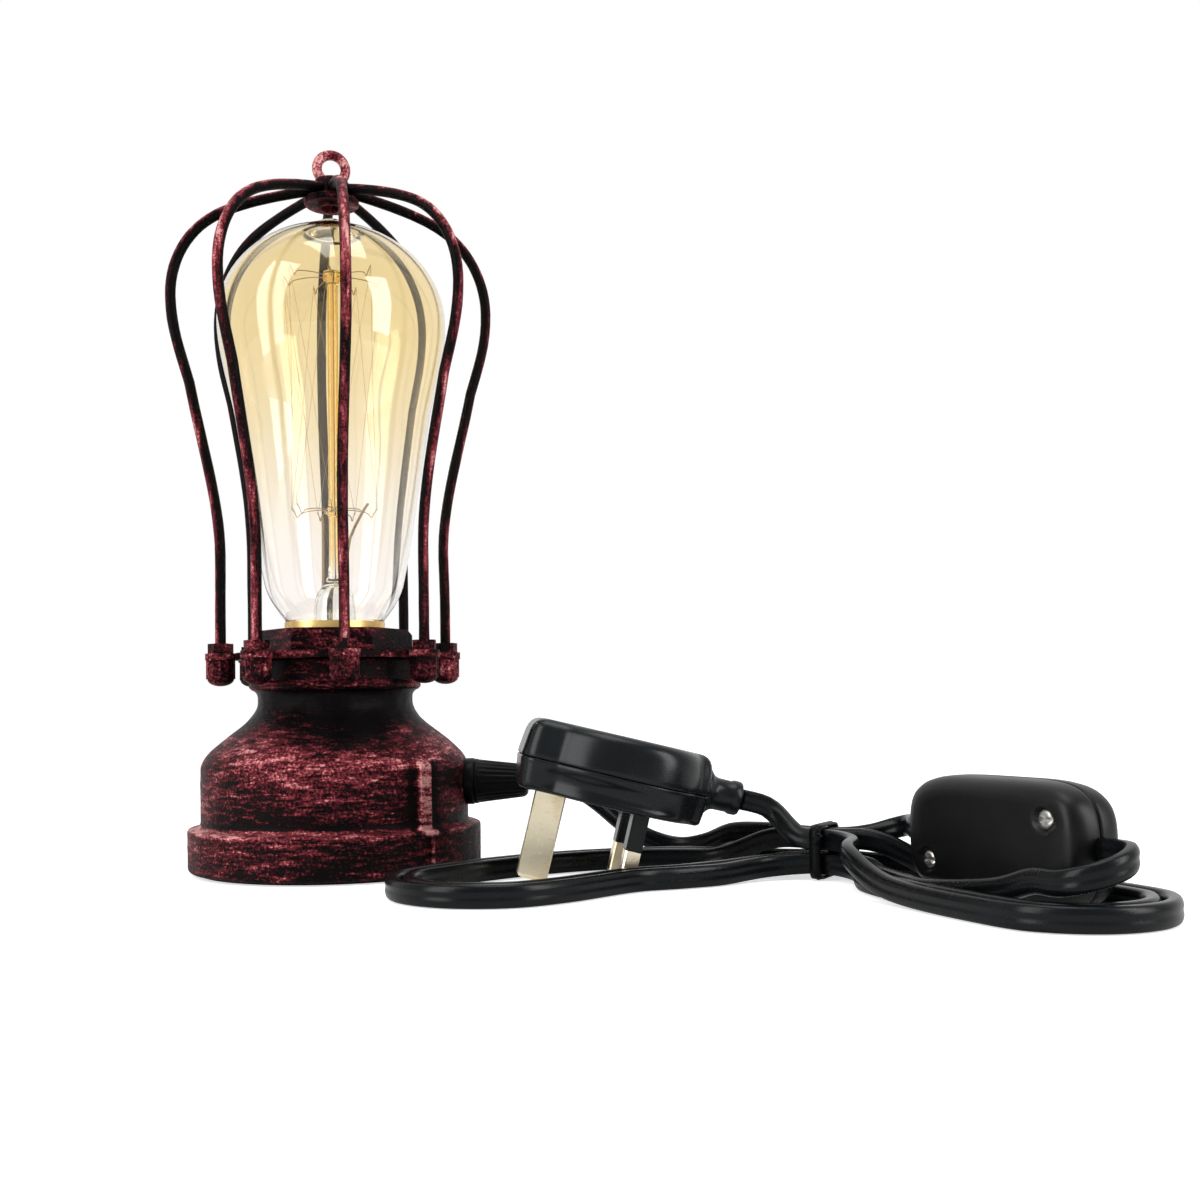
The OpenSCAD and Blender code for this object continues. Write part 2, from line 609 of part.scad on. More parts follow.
module bulb_leads() {
    color("#8c7b58") {
        sweep([[3.3, 0, press_z - 2], [3.35, 0, press_z + 1.5], [3.4, 0, press_z + 5], [3.8, 0.2, press_z + 8.5],
            [4.4, 0.4, press_z + 12], [5.6, 0.5, press_z + 15], [7.4, 0.65, press_z + 18.5], [9.5, 0.8, press_z + 22]],
            round_outline(lead_wire_r, 6), [0, 1, 0]);
        sweep([[-3.3, 0, press_z - 2], [-3.25, 0, press_z + 2], [-3.2, 0, press_z + 6], [-3.2, 0, press_z + 11],
            [-3.2, 0, lower_button_z - 3], [-3.4, 0, lower_button_z - 0.6]], round_outline(lead_wire_r, 6), [0, 1, 0]);
    }
}
// The thin wire runs up and down between the hooks. Each leg has its own rings, and a bend has three
function hook_point(i) = let (a = 20 + 360 * i / 7, r = i % 2 == 0 ? 14.4 : 12.4)
    [r * cos(a), r * sin(a), i % 2 == 0 ? upper_button_z + 1.9 : lower_button_z + 1.2];
function leg(a, b) = let (near = 2.4 / norm(b - a))
    [for (t = [near, 0.2, 0.4, 0.6, 0.8, 1 - near]) a + (b - a) * t];
module bulb_filament() {
    color("#4a4038") sweep(concat([hook_point(0)],
        [for (i = [0:filament_turns - 1]) each concat(leg(hook_point(i), hook_point(i + 1)), [hook_point(i + 1)])]),
        round_outline(filament_r, 4));
}

module gland_body() {
    color("#141414") difference() {
        translate([gland_seat - 4.6, 0, gland_z]) rotate([0, 90, 0]) union() {
            cylinder(h = gland_root - gland_seat + 4.6, r = gland_bore);
            translate([0, 0, gland_root - gland_seat + 4.6]) cylinder(h = 2.8, r = gland_r);
        }
        translate([-1, 0, gland_z]) rotate([0, 90, 0]) rotate(90) linear_extrude(60) polygon(cord_slot);
    }
}
cord_slot = rounded_box(cord_w + 2 * fit, cord_t + 2 * fit, cord_t / 2, 4);
gland_ribs = [for (i = [0:47]) let (r = gland_r - (i % 2 == 0 ? 0 : 0.32)) [r * cos(7.5 * i), r * sin(7.5 * i)]];
module gland_cap() {
    cap_start = gland_root + 2.8;
    taper_len = gland_len - 2.8 - 1.2;
    color("#161616") difference() {
        translate([cap_start, 0, gland_z]) rotate([0, 90, 0]) union() {
            linear_extrude(taper_len, scale = (gland_tip_r + 0.3) / gland_r) polygon(gland_ribs);
            translate([0, 0, taper_len]) cylinder(h = 1.2, r1 = gland_tip_r, r2 = gland_tip_r - 0.7);
        }
        translate([-1, 0, gland_z]) rotate([0, 90, 0]) rotate(90) linear_extrude(60) polygon(cord_slot);
    }
}
module gland_nut() {
    color("#1d1d1d") translate([gland_seat - 3.4, 0, gland_z]) rotate([0, 90, 0]) difference() {
        cylinder(h = 3.4, r = 8.6, $fn = 6);
        translate([0, 0, -1]) cylinder(h = 6, r = gland_bore + fit);
    }
}
module cord_tail() {
    tail_start = core_route[0][0];
    color("#101113") translate([tail_start, 0, gland_z]) rotate([0, 90, 0]) rotate(90)
        linear_extrude(gland_root + gland_len - tail_start) polygon(rounded_box(cord_w, cord_t, cord_t / 2 - 0.01, 4));
}
module core(side) {
    sweep([for (p = core_route) [side > 0 ? p[0] : p[0] - 2 * p[0] * smooth((28 - p[0]) / 19), side * (p[1] + 1.35),
        p[2]]], round_outline(1.05, 8));
}
module live_core() {
    color("#7a4a26") core(1);
}
module neutral_core() {
    color("#2f5f9e") core(-1);
}

// Centre line of the hank, bent round the tie: s runs along it, o is the offset away from the front
function bend_at(s) = s >= 0 ? min(s, right_bend_len) : max(s, -left_bend_len);
function curve_at(s) = s >= 0 ? 1 / right_bend_r : 1 / left_bend_r;
function dir_at(s) = tie_dir - bend_at(s) * curve_at(s) * 180 / PI;
function line_at(s) = let (k = curve_at(s), d = dir_at(s), rest = s - bend_at(s)) [
    tie_x + (sin(tie_dir) - sin(d)) / k + rest * cos(d),
    tie_y + (cos(d) - cos(tie_dir)) / k + rest * sin(d)];
function place(s, o, z) = let (p = line_at(s), d = dir_at(s)) [p[0] - o * sin(d), p[1] + o * cos(d), z];
function run_offset(row, s) = let (goal = s < 0 ? row[2] : row[3], taper = s < 0 ? left_taper : right_taper)
    row[0] * lane + (goal - row[0] * lane) * smooth((abs(s) - 3) / taper / row[4]);
function lift(s) = tie_lift * (1 - smooth((abs(s) - 6) / 18));
function run_height(row, s) = lift(s) + (row[1] == 0 ? low_z : high_z + (low_z - high_z) * smooth((abs(s) - row[5]) / row[6]));
function first_rise(s) = turn_rise * smooth((s - 62) / 26);
function run(row, stations) = [for (s = stations) place(s, run_offset(row, s), run_height(row, s))];
function reversed(list) = [for (i = [len(list) - 1:-1:0]) list[i]];
function turn(s, from, to, side) = let (c = (from + to) / 2, r = (from - to) / 2)
    [for (i = [0:cap_steps]) let (a = 180 * i / cap_steps) place(s + side * abs(r) * sin(a), c + r * cos(a), low_z)];

// The plug stands on its three pin tips, its cord end lower. Along it, a runs from the earth end to the cord end
pin_lean = atan((earth_pin_len - line_pin_len) / (pin_row - (earth_pin_wide - pin_thick) / 2));
plug_face_z = (line_pin_a + pin_thick / 2) * sin(pin_lean) + line_pin_len * cos(pin_lean);
relief_tip = place(-plug_lead, -3, 0);
function plug_spot(a, out) = let (along = (plug_len + relief_len - a) * cos(pin_lean) - (out - plug_t / 2) * sin(pin_lean))
    [relief_tip[0] + along * cos(plug_dir), relief_tip[1] + along * sin(plug_dir),
        plug_face_z - a * sin(pin_lean) + out * cos(pin_lean)];
module plug_place() {
    spot = plug_spot(0, 0);
    translate(spot) rotate([0, 0, plug_dir + 180]) rotate([0, pin_lean, 0]) children();
}
plug_lead_end = plug_spot(plug_len + relief_len, plug_t / 2);
plug_lead_dir = [-cos(plug_dir) * cos(pin_lean), -sin(plug_dir) * cos(pin_lean), -sin(pin_lean)];
tie_top = place(-4, -lane, high_z + tie_lift + 0.3);
tie_heading = [cos(dir_at(-4)), sin(dir_at(-4)), 0];
plug_lead_points = concat(
    bezier(tie_top, tie_top - tie_heading * 5 + [0, 0, 1], plug_lead_end + plug_lead_dir * 11,
        plug_lead_end + plug_lead_dir * 5, 6),
    [plug_lead_end]);

switch_end = switch_start + switch_len;
switch_mid_z = switch_h / 2;
switch_mid = place(switch_start + switch_len / 2, 0, switch_mid_z);
switch_dir = dir_at(switch_start + switch_len / 2);
function switch_axis(d) = switch_mid + d * [cos(switch_dir), sin(switch_dir), 0];
turn_mid = switch_end + 4.6;
turn_r = turn_back / 2;
hank_route = concat(
    [place(switch_end, 0, switch_mid_z), place(switch_end + 4, 0, switch_mid_z)],
    [for (i = [1:6]) let (a = 30 * i)
        place(turn_mid + turn_r * sin(a), turn_r * (cos(a) - 1),
            low_z + turn_rise + (switch_mid_z - low_z - turn_rise) * smooth(1.1 - i / 6))],
    [for (p = [86, 74]) place(p, near_1[3], low_z + first_rise(p))],
    run(near_1, reversed(run_stations)),
    turn(left_end, near_1[2], far_1[2], -1),
    run(far_1, run_stations),
    turn(right_end, far_1[3], near_2[3], 1),
    run(near_2, reversed(run_stations)),
    turn(left_end, near_2[2], far_2[2], -1),
    run(far_2, run_stations),
    turn(right_end, far_2[3], near_3[3], 1),
    run(near_3, [for (s = reversed(run_stations)) if (s > 0) s]),
    plug_lead_points);

lead_route = concat(
    [[gland_root + gland_len, 0, gland_z], [gland_root + gland_len + 6, 0, gland_z]],
    lead_bend,
    [place(-5, lane, high_z + tie_lift), place(4, lane, high_z + tie_lift)],
    [for (p = lead_rise) place(switch_start + p[0], p[1], switch_mid_z + p[2])],
    [switch_axis(-switch_len / 2 - 4), switch_axis(-switch_len / 2)]);
module cord_lead() {
    color("#0f1012") sweep(lead_route, flat_outline);
}
module cord_hank() {
    color("#0f1012") sweep(hank_route, cord_outline);
}
// Least gap between stretches of the hank that are more than 30 mm apart along it
hank_fine = [for (i = [0:len(hank_route) - 2]) for (k = [0:2]) hank_route[i] + (hank_route[i + 1] - hank_route[i]) * k / 3];
function pair_gap(a, b) = let (d = a - b, flat = norm([d[0], d[1]]) - cord_t, tall = abs(d[2]) - cord_w) max(flat, tall);
hank_gap = min([for (i = [0:len(hank_fine) - 10]) for (j = [i + 9:len(hank_fine) - 1])
    if (norm(hank_fine[i] - hank_fine[j]) < 20) pair_gap(hank_fine[i], hank_fine[j])]);
hank_length = norm_sum(hank_route);
lead_length = norm_sum(lead_route);
function norm_sum(p, i = 1, total = 0) = i >= len(p) ? total : norm_sum(p, i + 1, total + norm(p[i] - p[i - 1]));
echo(hank_gap = hank_gap, hank_length = hank_length, lead_length = lead_length);

module cord_tie() {
    spread = 2 * lane + cord_t + 0.6;
    stack = high_z - low_z + cord_w + 0.7;
    mid = tie_lift + (high_z + low_z) / 2;
    color("#26282b") translate([tie_x, tie_y, mid]) rotate([90, 0, 90 + tie_dir]) translate([0, 0, -1.4]) difference() {
        linear_extrude(2.8) polygon(rounded_box(spread + 1.8, stack + 1.8, 2.4));
        translate([0, 0, -1]) linear_extrude(5) polygon(rounded_box(spread, stack, 1.5));
    }
}

// The switch stands on its long edge, its smooth base towards the front
module switch_place() {
    translate(switch_mid) rotate([0, 0, switch_dir]) children();
}
module switch_half(depth, drop) {
    hull() {
        rotate([90, 0, 0]) linear_extrude(depth - 2.6) polygon(rounded_box(switch_len, switch_h, 7));
        rotate([90, 0, 0]) linear_extrude(depth) polygon(rounded_box(switch_len - 7, switch_h - drop, 6));
    }
}
module switch_base() {
    color("#121315") switch_place() difference() {
        switch_half(switch_t / 2 - fit, 6);
        translate([0, 0.5, 0]) rotate([90, 0, 0]) linear_extrude(switch_t / 2 - switch_wall)
            polygon(rounded_box(switch_len - 2 * switch_wall - 2, switch_h - 2 * switch_wall - 4, 4));
        switch_screw_places() translate([0, 0, -1]) cylinder(h = switch_t, r = 1.3);
        switch_screw_places() translate([0, 0, switch_t / 2 - 2]) cylinder(h = 5, r = 2.4);
    }
}
module switch_screw_places() {
    for (x = [-1, 1]) translate([x * (switch_len / 2 - 9), 0, x * (switch_h / 2 - 8)]) rotate([90, 0, 0]) children();
}
rocker_room = 0.4;
rocker_axis_y = 5;
lug_t = 2.4;
module rocker_lugs() {
    reach = switch_t / 2 - 0.8 - rocker_axis_y + 2.2;
    for (side = [-1, 1]) translate([-2.4, rocker_axis_y - 2.2, side * (rocker_w / 2 + rocker_room + lug_t / 2) - lug_t / 2])
        cube([4.8, reach, lug_t]);
}
module switch_cover() {
    color("#131416") switch_place() difference() {
        union() {
            difference() {
                mirror([0, 1, 0]) switch_half(switch_t / 2 - fit, 8);
                translate([0, switch_t / 2 - switch_wall, 0]) rotate([90, 0, 0])
                    linear_extrude(switch_t / 2 - switch_wall + 0.5)
                    polygon(rounded_box(switch_len - 2 * switch_wall - 2, switch_h - 2 * switch_wall - 4, 4));
            }
            rocker_lugs();
        }
        translate([-rocker_len / 2 - rocker_room, 0, -rocker_w / 2 - rocker_room])
            cube([rocker_len + 2 * rocker_room, switch_t, rocker_w + 2 * rocker_room]);
        translate([0, rocker_axis_y, -rocker_w / 2 - lug_t - 1]) cylinder(h = rocker_w + 2 * lug_t + 2, r = 1 + fit);
    }
}
module rocker_profile() {
    half = rocker_len / 2;
    polygon([
        [-half, 6.2], [-half + 1, 8.6], [0, 7.7], [half - 1, 8.6], [half, 6.2], [half - 0.6, 4.6], [3, 3.4],
        [1.2, 2.2], [-1.2, 2.2], [-3, 3.4], [-half + 0.6, 4.6]]);
}
module switch_rocker() {
    color("#1b1c1f") switch_place() translate([0, rocker_axis_y, 0]) rotate(rocker_tilt) translate([0, -rocker_axis_y, 0])
        difference() {
            translate([0, 0, -rocker_w / 2]) linear_extrude(rocker_w) rocker_profile();
            translate([0, rocker_axis_y, -rocker_w]) cylinder(h = 2 * rocker_w, r = 1 + fit);
        }
}
module rocker_pin() {
    color("#8f9092") switch_place() translate([0, rocker_axis_y, -rocker_w / 2 - rocker_room - 1.2])
        cylinder(h = rocker_w + 2 * rocker_room + 2.4, r = 1);
}
module switch_screws() {
    color("#a9a6a0") switch_place() switch_screw_places() {
        translate([0, 0, switch_t / 2 - 2]) cylinder(h = 1.2, r = 2.2);
        translate([0, 0, 0.6]) cylinder(h = switch_t / 2 - 2.6, r = 1.1);
    }
}
module switch_contacts() {
    color("#c99a45") switch_place() for (x = [-1, 1]) {
        translate([x * 15 - 3, -switch_t / 2 + switch_wall + 0.5, -7.6]) cube([6, 5, 5]);
        translate([x * 15 - 3, -switch_t / 2 + switch_wall + 0.5, 2.9]) cube([6, 5, 5]);
        translate([x * 7 - 1.6, -switch_t / 2 + switch_wall + 0.5, -3]) cube([3.2, 4.4, 6]);
    }
}

// Outline of the plug's face: narrow at the earth end, widest at the line pins, narrow at the cord
plug_outline = let (h = plug_w / 2) concat(
    arc(5, -10, 5, 270, 180, 4), arc(5, 10, 5, 180, 90, 4),
    bezier([9, 16], [16, h - 1], [22, h], [29, h], 5),
    bezier([29, h], [plug_len - 11, h], [plug_len - 6, h - 5], [plug_len - 3, 11], 5, 1),
    arc(plug_len - 3, 8, 3, 90, 0, 3), arc(plug_len - 3, -8, 3, 0, -90, 3),
    bezier([plug_len - 3, -11], [plug_len - 6, -h + 5], [plug_len - 11, -h], [29, -h], 5),
    bezier([29, -h], [22, -h], [16, -h + 1], [9, -16], 5, 1));
function shrunk(points, d) = [for (p = points) let (c = [plug_len / 2, 0], v = p - c) c + v * (1 - d / norm(v))];
module pin_block(a, b, wide_a, wide_b, from, length) {
    translate([a - wide_a / 2, b - wide_b / 2, -length]) cube([wide_a, wide_b, length - from]);
}
module pin_roots(grow) {
    for (b = [-pin_gap / 2, pin_gap / 2])
        translate([0, 0, 6]) pin_block(line_pin_a, b, pin_thick + grow, line_pin_wide + grow, 0, 7);
    translate([0, 0, 6]) pin_block(earth_pin_a, 0, earth_pin_wide + grow, pin_thick + grow, 0, 7);
}
module plug_body() {
    color("#1d1f24") plug_place() difference() {
        linear_extrude(plug_split) polygon(plug_outline);
        pin_roots(2 * fit);
        translate([carrier_a - carrier_w / 2 - 0.2, -carrier_l / 2 - 0.2, -1])
            cube([carrier_w + 0.4, carrier_l + 0.4, plug_split + 2]);
    }
}
module plug_cover() {
    color("#1f2126") plug_place() difference() {
        hull() {
            translate([0, 0, plug_split]) linear_extrude(plug_t - plug_split - 3.4) polygon(plug_outline);
            translate([0, 0, plug_split]) linear_extrude(plug_t - plug_split) polygon(shrunk(plug_outline, 3.6));
        }
        translate([carrier_a - carrier_w / 2 - 1.6, -carrier_l / 2 - 1.6, plug_split - 1])
            cube([carrier_w + 3.2, carrier_l + 3.2, 4.4]);
    }
}
module plug_relief() {
    color("#17181b") plug_place() translate([plug_len, 0, plug_t / 2]) rotate([0, 90, 0]) {
        cylinder(h = 2.2, r1 = 5.6, r2 = 4.6);
        translate([0, 0, 2.2]) cylinder(h = relief_len - 2.2 - 1.4, r1 = 4.1, r2 = 3.9);
        translate([0, 0, relief_len - 1.4]) cylinder(h = 1.4, r = 4.3);
    }
}
module pin_earth() {
    color("#caa04a") plug_place() translate([0, 0, 0]) difference() {
        pin_block(earth_pin_a, 0, earth_pin_wide, pin_thick, -6, earth_pin_len);
        for (b = [-1, 1]) translate([earth_pin_a - 5, b * 2.4, -earth_pin_len - 0.9]) rotate([45, 0, 0]) cube([10, 1.4, 1.4]);
    }
}
module line_pin(b) {
    difference() {
        pin_block(line_pin_a, b, pin_thick, line_pin_wide, -6, line_pin_len);
        translate([0, 0, -fit]) sleeve_shape(b, 2 * fit);
    }
    pin_block(line_pin_a, b, pin_thick - 1, line_pin_wide - 1, -5, line_pin_len - 1);
}
module sleeve_shape(b, grow) {
    difference() {
        pin_block(line_pin_a, b, pin_thick + 1, line_pin_wide + 1, 0, sleeve_len + grow);
        pin_block(line_pin_a, b, pin_thick - 1 + grow, line_pin_wide - 1 + grow, -1, sleeve_len + 2);
    }
}
module pin_live() {
    color("#caa04a") plug_place() line_pin(-pin_gap / 2);
}
module pin_neutral() {
    color("#caa04a") plug_place() line_pin(pin_gap / 2);
}
module pin_sleeves() {
    color("#101114") plug_place() for (b = [-pin_gap / 2, pin_gap / 2]) intersection() {
        sleeve_shape(b, 2 * fit);
        pin_block(line_pin_a, b, pin_thick, line_pin_wide, 2 * fit, sleeve_len);
    }
}
module fuse_carrier() {
    color("#2a2c31") plug_place() translate([carrier_a, 0, 0]) difference() {
        translate([-carrier_w / 2, -carrier_l / 2, 0.05]) cube([carrier_w, carrier_l, carrier_d]);
        translate([-carrier_w, -fuse_l / 2 - 0.1, 2.2]) cube([2 * carrier_w, fuse_l + 0.2, carrier_d]);
    }
    color("#2a2c31") plug_place() translate([carrier_a, 0, 0]) for (x = [-1, 1])
        translate([x * (carrier_w / 2 - 0.4) - 0.4, -fuse_l / 2 - 0.2, 2]) cube([0.8, fuse_l + 0.4, 3]);
}
module fuse() {
    color("#e9e5da") plug_place() translate([carrier_a, 0, 5.6]) rotate([90, 0, 0])
        cylinder(h = fuse_l, r = fuse_r, center = true);
}
module fuse_clips() {
    color("#c99a45") plug_place() for (y = [-1, 1])
        translate([carrier_a - 2.5, y * (fuse_l / 2 - 3) - 1.5, 5.6 + fuse_r + 0.3]) cube([5, 3, 1]);
}

reducer_body();
base_plate();
base_pad();
base_screws();
flange_plate();
hex_bush();
cage_rod(1);  // cage_rod_1
cage_rod(2);  // cage_rod_2
cage_rod(3);  // cage_rod_3
cage_rod(4);  // cage_rod_4
cage_rod(5);  // cage_rod_5
cage_rod(6);  // cage_rod_6
cage_rod(7);  // cage_rod_7
cage_rod(8);  // cage_rod_8
rod_nuts();
cap_nuts();
cage_hub();
eye_ring();
holder_body();
holder_lock_ring();
screw_shell();
centre_contact();
terminal_blocks();
terminal_screws();
bulb_glass();
bulb_cap();
bulb_insulator();
bulb_tip();
bulb_stem();
bulb_hooks();
bulb_leads();
bulb_filament();
gland_body();
gland_cap();
gland_nut();
cord_tail();
live_core();
neutral_core();
cord_lead();
cord_hank();
cord_tie();
switch_base();
switch_cover();
switch_rocker();
rocker_pin();
switch_screws();
switch_contacts();
plug_body();
plug_cover();
plug_relief();
pin_earth();
pin_live();
pin_neutral();
pin_sleeves();
fuse_carrier();
fuse();
fuse_clips();
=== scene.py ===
# %% [markdown]
# # A table lamp made of pipe fittings
# A cast iron reducer is the foot, a wire cage stands on a scalloped flange, and an amber bulb sits inside it.
# This lesson gives each part its finish, and makes the parts again that need softer edges or finer detail
# than the solids have. Most lengths are written in millimetres, and times `mm` they become metres where a
# mesh is made.

# %% Load the solid model
import json
import math

import bpy
import numpy as np
from mathutils import Matrix, Vector

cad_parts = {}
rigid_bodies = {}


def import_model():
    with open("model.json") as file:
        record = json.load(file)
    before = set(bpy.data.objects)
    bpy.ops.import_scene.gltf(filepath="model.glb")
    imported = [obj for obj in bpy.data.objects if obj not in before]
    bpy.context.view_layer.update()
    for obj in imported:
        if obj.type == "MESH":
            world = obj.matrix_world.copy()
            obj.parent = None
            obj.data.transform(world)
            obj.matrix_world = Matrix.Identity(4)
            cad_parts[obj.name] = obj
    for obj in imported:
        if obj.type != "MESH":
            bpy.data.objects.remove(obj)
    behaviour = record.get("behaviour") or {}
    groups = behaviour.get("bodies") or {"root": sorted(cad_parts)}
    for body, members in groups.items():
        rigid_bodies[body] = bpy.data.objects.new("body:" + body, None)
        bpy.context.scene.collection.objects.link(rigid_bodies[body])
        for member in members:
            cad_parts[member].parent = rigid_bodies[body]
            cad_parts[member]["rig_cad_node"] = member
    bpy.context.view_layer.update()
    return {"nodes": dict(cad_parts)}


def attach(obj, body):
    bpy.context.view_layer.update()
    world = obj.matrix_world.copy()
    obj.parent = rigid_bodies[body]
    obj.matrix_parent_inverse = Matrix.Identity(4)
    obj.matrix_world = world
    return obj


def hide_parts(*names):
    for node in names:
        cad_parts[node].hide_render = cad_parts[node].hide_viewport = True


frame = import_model()
mm = 0.001

# %% [markdown]
# ## Camera
# The picture was taken from low down. The camera stands 46 mm up, just below the flange, whose underside
# shows, and looks nearly level along +Y. Lens shift lifts the frame and keeps upright lines upright, and a
# small part of the lift is a real tilt, so that the shift stays small. A slight roll leans the lamp as in the
# picture.

# %% Camera
picture_px, focal_px, sensor_mm = 1200, 1412, 36
tilt, roll = math.radians(1.7), math.radians(-0.8)
camera_data = bpy.data.cameras.new("camera")
camera_data.sensor_width = sensor_mm
camera_data.lens = sensor_mm * focal_px / picture_px
camera_data.shift_y = 0.0495
camera_data.clip_start, camera_data.clip_end = 0.01, 20
camera = bpy.data.objects.new("camera", camera_data)
camera.location = (0.075, -0.400, 0.046)
camera.rotation_euler = (Matrix.Rotation(math.pi / 2 + tilt, 4, "X") @ Matrix.Rotation(roll, 4, "Z")).to_euler()
bpy.context.scene.collection.objects.link(camera)
bpy.context.scene.camera = camera
print("lens", round(camera_data.lens, 2), "mm")

# %% [markdown]
# ## Surfaces from numbers
# Most parts here are surfaces over a grid of two parameters. One helper takes the grid of points and joins
# neighbours with four-sided faces. Where a direction runs round and meets itself, the last column is joined to
# the first one. The open ends get a cap that fans out from the middle of the ring. The signed volume tells
# whether the faces point outwards, and if it is negative every face is turned over.

# %% Grid, cap and mesh helpers
def grid_faces(rings, size, closed):
    """Corner numbers of the quads between neighbouring rings of size points. closed joins the last ring to the
    first: point c of ring r has the number r * size + c."""
    r, c = np.arange(rings if closed else rings - 1)[:, None], np.arange(size)[None]
    r2, c2 = (r + 1) % rings, (c + 1) % size
    return np.stack([r * size + c, r * size + c2, r2 * size + c2, r2 * size + c], -1).reshape(-1, 4)


def cap_faces(ring, centre, turned):
    """Triangles from a ring of corner numbers to its centre's number. turned flips them."""
    after, middle = np.roll(ring, -1), np.full(len(ring), centre)
    return np.stack([after, ring, middle] if turned else [ring, after, middle], -1)


def signed_volume(points, quads, triangles):
    """Sum over all faces of a . (b x c) / 6, which is positive where the faces point outwards."""
    if len(quads):
        triangles = np.concatenate([triangles, quads[:, [0, 1, 2]], quads[:, [0, 2, 3]]])
    a, b, c = (points[triangles[:, i]] for i in range(3))
    return float(np.einsum("ij,ij->i", a, np.cross(b, c)).sum() / 6)


def make_piece(name, parts, smooth=True):
    """Joins parts, a list of (points, quads, triangles) numbered each from 0, into one mesh object.
    Each part is turned so that its faces point outwards."""
    points, faces, start = [], [], 0
    for p, quads, triangles in parts:
        p = np.asarray(p, float)
        quads = np.asarray(quads, int).reshape(-1, 4)
        triangles = np.asarray(triangles, int).reshape(-1, 3)
        if signed_volume(p - p.mean(0), quads, triangles) < 0:
            quads, triangles = quads[:, ::-1], triangles[:, ::-1]
        points.append(p)
        faces += (quads + start).tolist() + (triangles + start).tolist()
        start += len(p)
    mesh = bpy.data.meshes.new(name)
    mesh.from_pydata(np.concatenate(points).tolist(), [], faces)
    mesh.polygons.foreach_set("use_smooth", np.full(len(mesh.polygons), smooth))
    mesh.update()
    piece = bpy.data.objects.new(name, mesh)
    bpy.context.scene.collection.objects.link(piece)
    print(name + ":", len(mesh.vertices), "points")
    return piece


def tube_part(rings):
    """A closed part from rings, an array of rings x points x 3, with a cap over the first and the last ring."""
    n, m = rings.shape[:2]
    points = np.concatenate([rings.reshape(-1, 3), [rings[0].mean(0), rings[-1].mean(0)]])
    caps = [cap_faces(np.arange(m), n * m, True), cap_faces(np.arange(m) + (n - 1) * m, n * m + 1, False)]
    return points, grid_faces(n, m, False), np.concatenate(caps)


def loop_part(rings):
    """A closed part whose rings run round and meet the first one again, like a tyre."""
    n, m = rings.shape[:2]
    return rings.reshape(-1, 3), grid_faces(n, m, True), []


# %% [markdown]
# A bent wire and a cord are both a section carried along a path. The path is a smooth curve through a few
# points. The section stays upright: its side direction is the upright axis crossed with the path's direction,
# so a flat cord that lies on its edge never twists.

# %% Paths and sections
def steps(line):
    """Distance from each point of a line to the next."""
    return np.linalg.norm(np.diff(line, axis=0), axis=1)


def path_length(path):
    """Sum of the distances along a path."""
    return float(steps(path).sum())


def even_points(line, least, step, last=True):
    """Points about step apart on a broken line: each coordinate is interpolated over the distance along it."""
    along = np.concatenate([[0], np.cumsum(steps(line))])
    stations = np.linspace(0, along[-1], max(least, round(along[-1] / step) + last), endpoint=last)
    return np.stack([np.interp(stations, along, column) for column in line.T], -1)


def smooth_path(points, step):
    """The curve through the points whose tangent at each is half the way from the point before to the point
    after (a cubic from point to point), cut into pieces of about step, with its ends kept."""
    p = np.asarray(points, float)
    p = np.concatenate([[2 * p[0] - p[1]], p, [2 * p[-1] - p[-2]]])
    a, b, c, d = p[:-3], p[1:-2], p[2:-1], p[3:]
    t = np.linspace(0, 1, 24, endpoint=False)[None, :, None]
    a, b, c, d = (x[:, None] for x in (a, b, c, d))
    fine = 0.5 * (2 * b + (c - a) * t + (2 * a - 5 * b + 4 * c - d) * t**2 + (3 * b - a - 3 * c + d) * t**3)
    return even_points(np.concatenate([fine.reshape(-1, p.shape[1]), p[-2:-1]]), 2, step)


def sweep(path, section, up, scale=None):
    """Rings of section, pairs of (across, upward), set square to the path: across is up x direction, and upward
    is direction x across. scale makes each ring larger or smaller."""
    direction = np.gradient(path, axis=0)
    direction /= np.linalg.norm(direction, axis=1, keepdims=True)
    across = np.cross(np.broadcast_to(up, path.shape), direction)
    across /= np.linalg.norm(across, axis=1, keepdims=True)
    upward = np.cross(direction, across)
    section = np.broadcast_to(section, (len(path),) + np.shape(section)[-2:])
    if scale is not None:
        section = section * np.asarray(scale)[:, None, None]
    return path[:, None] + across[:, None] * section[..., :1] + upward[:, None] * section[..., 1:]


def ring_angles(n):
    """n even steps of a full turn, in radians."""
    return np.arange(n) * 2 * np.pi / n


def polar(r, a):
    """The point or points r times (cos a, sin a)."""
    return np.stack([r * np.cos(a), r * np.sin(a)], -1)


def circle(radius, n):
    """n points of a circle."""
    return polar(radius, ring_angles(n))


def ease(u):
    """0 below 0, 1 above 1, and the smooth cubic 3u^2 - 2u^3 between."""
    u = np.clip(u, 0, 1)
    return u * u * (3 - 2 * u)


def cubic(a, b, c, d, n, first=0):
    """Points of the cubic curve from a to d that b and c pull, from point first of n: with s = 1 - t they are
    a s^3 + 3 b s^2 t + 3 c s t^2 + d t^3."""
    t = np.linspace(0, 1, n + 1)[first:, None]
    a, b, c, d = (np.asarray(x, float) for x in (a, b, c, d))
    return (1 - t) ** 3 * a + 3 * (1 - t) ** 2 * t * b + 3 * (1 - t) * t**2 * c + t**3 * d


# %% [markdown]
# ## The cord
# The cord is flat, 5.4 mm wide and 3.4 mm thick, and lies on its edge. It leaves the gland, bends down to the
# floor, passes through the tie on top of the bundle and goes into the switch. On the other side it turns
# back, makes two long loops and comes to the plug. The route follows a line that is bent round the tie: s runs
# along this line and an offset goes square to it, away from the front. The numbers are the solid model's own.

